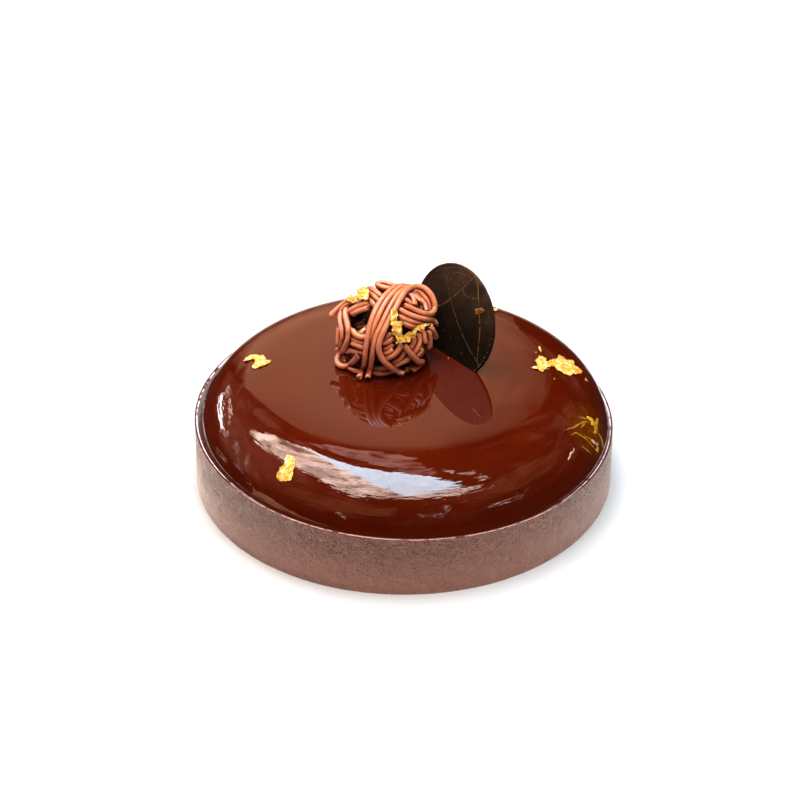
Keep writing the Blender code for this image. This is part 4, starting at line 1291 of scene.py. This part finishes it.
# %% Lay the leaf on the glaze
leaves_on_glaze = [
    [(-69.2, 16.5), (-68.4, 18.2), (-67.4, 19.3), (-66.3, 20.4), (-65.1, 20.2), (-63.6, 19.6),
     (-63.2, 18.9), (-62.4, 18.4), (-61.8, 17.9), (-61.4, 19.2), (-60.7, 19), (-60.3, 17.4),
     (-59.8, 15.4), (-59.3, 14.1), (-58.5, 14), (-57.3, 13.9), (-57.6, 13), (-58.4, 11.4),
     (-59.4, 10.5), (-60.3, 10), (-61.5, 9.2), (-62.8, 8.8), (-64.3, 8.4), (-65.1, 8.9),
     (-65.4, 9.8), (-65.1, 11.4), (-64.5, 12.8), (-64.1, 14.2), (-64.5, 15.4), (-65.3, 16.3),
     (-66.2, 16.6), (-67, 15.9), (-67.8, 15.6), (-68.9, 15.8)],
    [(58.3, 25.5), (58.8, 26.1), (59.3, 25.1), (59.8, 21.8), (59.3, 20.7), (58.9, 21.4),
     (58.3, 24.2)],
    [(58.5, 18.4), (59, 17.6), (59.9, 17.8), (60.8, 16.8), (61.4, 15.3), (61.2, 13.9), (62, 13.5),
     (62.9, 14.7), (64.3, 16), (66.3, 17.3), (66.6, 19), (67, 21), (68.1, 20.8), (69.4, 19.6),
     (70.2, 18.2), (71.6, 19.1), (73, 20), (73.4, 18.4), (73.8, 15.4), (75.2, 15.4), (76, 14.1),
     (76.9, 13.6), (76.3, 10.8), (74.8, 9.1), (73.9, 7.7), (72.5, 7.7), (72, 6.6), (71.1, 4.8),
     (70.2, 5.3), (68.7, 5.9), (67.4, 6.7), (66.1, 7.1), (65.3, 8.6), (64.9, 10.1), (64.1, 10.8),
     (63.4, 10.2), (62.5, 9.4), (61.4, 9.4), (61.1, 7.9), (60.1, 6.3), (59.6, 4.8), (58.8, 5.3),
     (57.9, 6.4), (57.5, 7), (56.2, 6.9), (54.3, 7.7), (55.2, 8.6), (56.3, 9.1), (57.4, 9.4),
     (57.2, 10.9), (57.1, 12.5), (56.6, 13.7), (57.6, 15.5), (58.2, 17)],
    [(77.4, 6.8), (78, 7.9), (78.6, 7.2), (79.1, 6.5), (78.5, 6), (77.8, 6.1)],
    [(-48.1, -54), (-46.3, -54.9), (-44.9, -56.2), (-44.5, -58.9), (-45.1, -61.8), (-45.5, -64.5),
     (-46.4, -65.7), (-48.5, -65.4), (-50.5, -64.4), (-51.6, -63.1), (-52.2, -61.7), (-52, -60.9),
     (-51, -60.3), (-51.1, -59.2), (-49.5, -58.7), (-49, -57.3), (-48.9, -55.7)],
    [(38.6, 57.4), (40.6, 56.2), (41.9, 57.6), (41.2, 59.6), (39.4, 59.2)],
]
for number, outline in enumerate(leaves_on_glaze):
    mesh = leaf_mesh(number, outline, on_dome, crumple=0.45 if number == 4 else 0.8)
    piece(f"gold_on_glaze_{number}", mesh, gold_finish.material, smooth=False)

# %% [markdown]
# The leaf on the ball lies across several strands. One scrap hangs in the opening at the
# left, so it is laid deeper than the others. A scrap has also stuck to the disc.

# %% Lay the leaf on the ball and the disc
def on_strands(layers):
    def lay(right, up, lift):
        point = on_ball(right, up, layers)
        return BALL_CENTRE + point + point.normalized() * lift

    return lay


top_left = [
    (-17.7, 12.9), (-16.3, 13.3), (-15.2, 13.8), (-14.1, 14.9), (-14.1, 13.8), (-12.4, 14.5),
    (-11.9, 15.8), (-11, 17.3), (-9.8, 18.2), (-8.9, 17.5), (-7.5, 17), (-7.1, 15.9),
    (-6.9, 14.2), (-7.5, 12.8), (-8.2, 11.9), (-9.1, 12.4), (-9.9, 12.1), (-11.7, 11.7),
    (-13.1, 11.4), (-14.2, 10.9), (-14.7, 11.7), (-15.9, 12.1), (-17, 12.2),
]
hollow = [
    (-12.8, -1.3), (-12.1, -1), (-10.6, -0.5), (-9.6, 0.1), (-8.5, 1.1), (-8, 1.3), (-8.4, -0.3),
    (-8.9, -1.3), (-9.9, -1.9), (-11.3, -1.9), (-12.4, -1.8),
]
vee = [
    (1.9, 7.7), (3.1, 8), (4.5, 7.7), (4.7, 5.4), (4.3, 3.2), (5.6, 2.9), (6.6, 3.2), (7, 2.2),
    (6.4, 0.4), (6.6, -1), (6.4, -2.4), (7, -3.1), (8.4, -2), (10.5, -1), (12.3, 0.4),
    (13.7, 1.5), (15.4, 2.2), (17.2, 2.5), (18.8, 2.6), (18.6, 2), (17.2, 1.5), (16.1, 1.1),
    (16, 0.1), (15.3, -1), (14, -1), (13.3, -0.6), (12.3, -1.7), (12.3, -2.7), (11.2, -3.8),
    (10.3, -3.6), (10, -5.4), (8.4, -5.6), (7, -5.4), (5.6, -5.9), (4.5, -6.6), (3.8, -5.6),
    (4.5, -5), (3.8, -2.7), (2.7, -2.4), (2.4, -1), (3.1, 0.4), (2, 1.5), (1.7, 2.9), (1.9, 5.4),
]
for number, (outline, layers) in enumerate(((top_left, 1.45), (vee, 1.5), (hollow, 0.0))):
    mesh = leaf_mesh(20 + number, outline, on_strands(layers), crumple=1.2)
    piece(f"gold_on_ball_{number}", mesh, gold_finish.material, smooth=False)

OLD_STOPS = [(0.4, (0.06, 0.025, 0.006)), (0.52, (0.3, 0.14, 0.03)), (0.68, (0.7, 0.42, 0.14))]
old_gold = finish_of_gold("old_gold", OLD_STOPS, 0.3, 0.4)
disc_patch = [
    (10.7, 10.2), (12.7, 11.3), (14.5, 12.5), (15.8, 12.7), (16.7, 11.5), (15.7, 10.3),
    (13.5, 8.9), (12.0, 8.5), (11.4, 9.6),
]
patch = leaf_mesh(30, disc_patch, on_disc, 0.6, 0.3)
piece("gold_on_disc", patch, old_gold.material, smooth=False)

# %% [markdown]
# ## Veins and crumbs
# At the right, threads of gold were drawn through the wet glaze. Each is a thin ribbon that
# lies on the surface and tapers to both ends. A few are small blobs.

# %% Draw the veins in the glaze
def ribbon(stations, width):
    """The outline of a ribbon that tapers to both ends, along stations in millimetres."""
    path = even_path([Vector((x, y, 0)) for x, y in stations], 0.7)
    left, right = [], []
    for step, (x, y, _) in enumerate(path):
        ahead = path[min(step + 1, len(path) - 1)] - path[max(step - 1, 0)]
        side = Vector((-ahead[1], ahead[0])).normalized()
        half = width / 2 * (0.25 + math.sin(math.pi * step / (len(path) - 1)))
        left.append((x + side.x * half, y + side.y * half))
        right.append((x - side.x * half, y - side.y * half))
    return right + left[::-1]


vein_blob = [
    (77.3, -19), (79.1, -18.4), (80.9, -18.8), (81.4, -17.9), (81.5, -16.6), (82.4, -14.8),
    (82.5, -16.8), (82.2, -18.9), (82, -20.7), (82.2, -22.5), (80.8, -25.5), (80, -25.1),
    (80.5, -23.7), (80.4, -22.4), (79.8, -22), (78.9, -22.4), (79.2, -21), (78.1, -21),
]
vein_tail = [(82, -22.8), (83, -22.6), (83.9, -23), (84.4, -24.4)]
brown_runs = [
    [(80.1, -21.4), (78, -22.2), (76.2, -23.4), (74.3, -26.1), (72.7, -28.2), (70.6, -30.8),
     (66.6, -34.3)],
    [(76.6, -23.4), (75.7, -25.4), (74.7, -27.9)],
    [(79, -21), (77.7, -20.8), (75.8, -21.6), (73.8, -22.6)],
    [(81.8, -30.6), (80.6, -31.6), (79, -32), (77.2, -32), (75, -32.2), (72.5, -32.4),
     (71.6, -32.9), (70.2, -35.1), (69.4, -35.4)],
    [(80.9, -28.9), (79.5, -29.3), (77.7, -30.5), (75.2, -31.5)],
    [(74.3, -37.1), (75.2, -36.7), (76.8, -36.3), (78.7, -35.5)],
]
pink_run = [(70.8, -40.4), (70.8, -41.9), (69.6, -43.9), (68.8, -45.9), (68.1, -47.4)]
yellow_blob = [(81.5, -29.3), (82.3, -28.1), (82.4, -28.9), (81.7, -30.9), (81.1, -31.4)]
pink_blobs = [
    [(78.6, -30.6), (79.6, -28.8), (80.7, -28.6), (80.2, -29.9), (79.3, -30.6)],
    [(80.9, -28.5), (81.8, -27.3), (82, -27.8), (81.4, -29.4), (80.9, -29.7)],
]
yellow_stops = [(0.3, (0.35, 0.12, 0.001)), (0.7, (0.85, 0.55, 0.02))]
brown_stops = [(0.3, (0.2, 0.06, 0.002)), (0.7, (0.6, 0.28, 0.015))]
pink_stops = [(0.3, (0.4, 0.12, 0.07)), (0.7, (0.85, 0.5, 0.4))]
veins = [
    ("yellow_vein", yellow_stops, 0.2, [vein_blob, yellow_blob, ribbon(vein_tail, 0.7)]),
    ("brown_vein", brown_stops, 0.2, [ribbon(run, 0.55) for run in brown_runs]),
    ("pink_vein", pink_stops, 0.1, [*pink_blobs, ribbon(pink_run, 0.6)]),
]
number = 40
for name, stops, metallic, outlines in veins:
    finish = finish_of_gold(name, stops, metallic, 0.3)
    for outline in outlines:
        number += 1
        mesh = leaf_mesh(number, outline, on_dome, 0.7, 0.06)
        piece(f"vein_{number}", mesh, finish.material)

# %% [markdown]
# Crumbs of gold lie on the glaze and the ball, and pale specks on the disc, as on any cake
# that was dressed by hand. Each is a tiny ball with its points moved by a noise.

# %% Scatter the crumbs
def crumb_mesh(places, name):
    """Rough little lumps, each at a place with a size in metres."""

    def scatter(shape):
        for number, (place, size) in enumerate(places):
            for vertex in bmesh.ops.create_icosphere(shape, subdivisions=2, radius=size)["verts"]:
                rough = noise.noise(vertex.co / size * 1.3 + Vector((number, 0, 0)))
                vertex.co = place + vertex.co * (1 + 0.5 * rough)

    return edit(bpy.data.meshes.new(name), scatter)


glaze_spots = [(64.4, 0.6), (19.2, 15.2), (62.1, 8.2), (57.2, 21.0)]
ball_spots = [(4.9, 13.8), (-4.7, -5.6), (-0.8, -14.4), (-16.6, -1.3), (7.6, 4.0)]
disc_spots = [
    (1.3, 18.0), (0.4, -7.7), (16.8, 1.3), (23.9, -1.0), (24.1, 1.8), (23.5, -4.6), (22.6, -7.2),
    (21.9, -9.6), (20.9, -11.4), (19.8, -13.2), (19.2, -14.6), (20.2, -12.8), (18.2, -15.6),
    (-4.5, -6.8), (8.8, -12.0), (22.3, -8.0), (19.0, 7.3),
]
crumbs = [(on_dome(x, y, 0.1 * MM), 0.28 * MM) for x, y in glaze_spots]
crumbs += [(on_strands(1.62)(x, y, 0), 0.32 * MM) for x, y in ball_spots]
piece("gold_crumbs", crumb_mesh(crumbs, "gold_crumbs"), gold_finish.material)
specks = [(on_disc(x, y, 0.02 * MM), 0.17 * MM) for x, y in disc_spots]
speck_finish = Finish("pale_speck", (0.3, 0.2, 0.1), 0.5)
speck_tone = speck_finish.ramp(
    speck_finish.noise(900, 2.0), [(0.35, (0.16, 0.09, 0.035)), (0.65, (0.5, 0.34, 0.16))]
)
speck_finish.plug(speck_tone, "Base Color")
piece("disc_specks", crumb_mesh(specks, "disc_specks"), speck_finish.material)
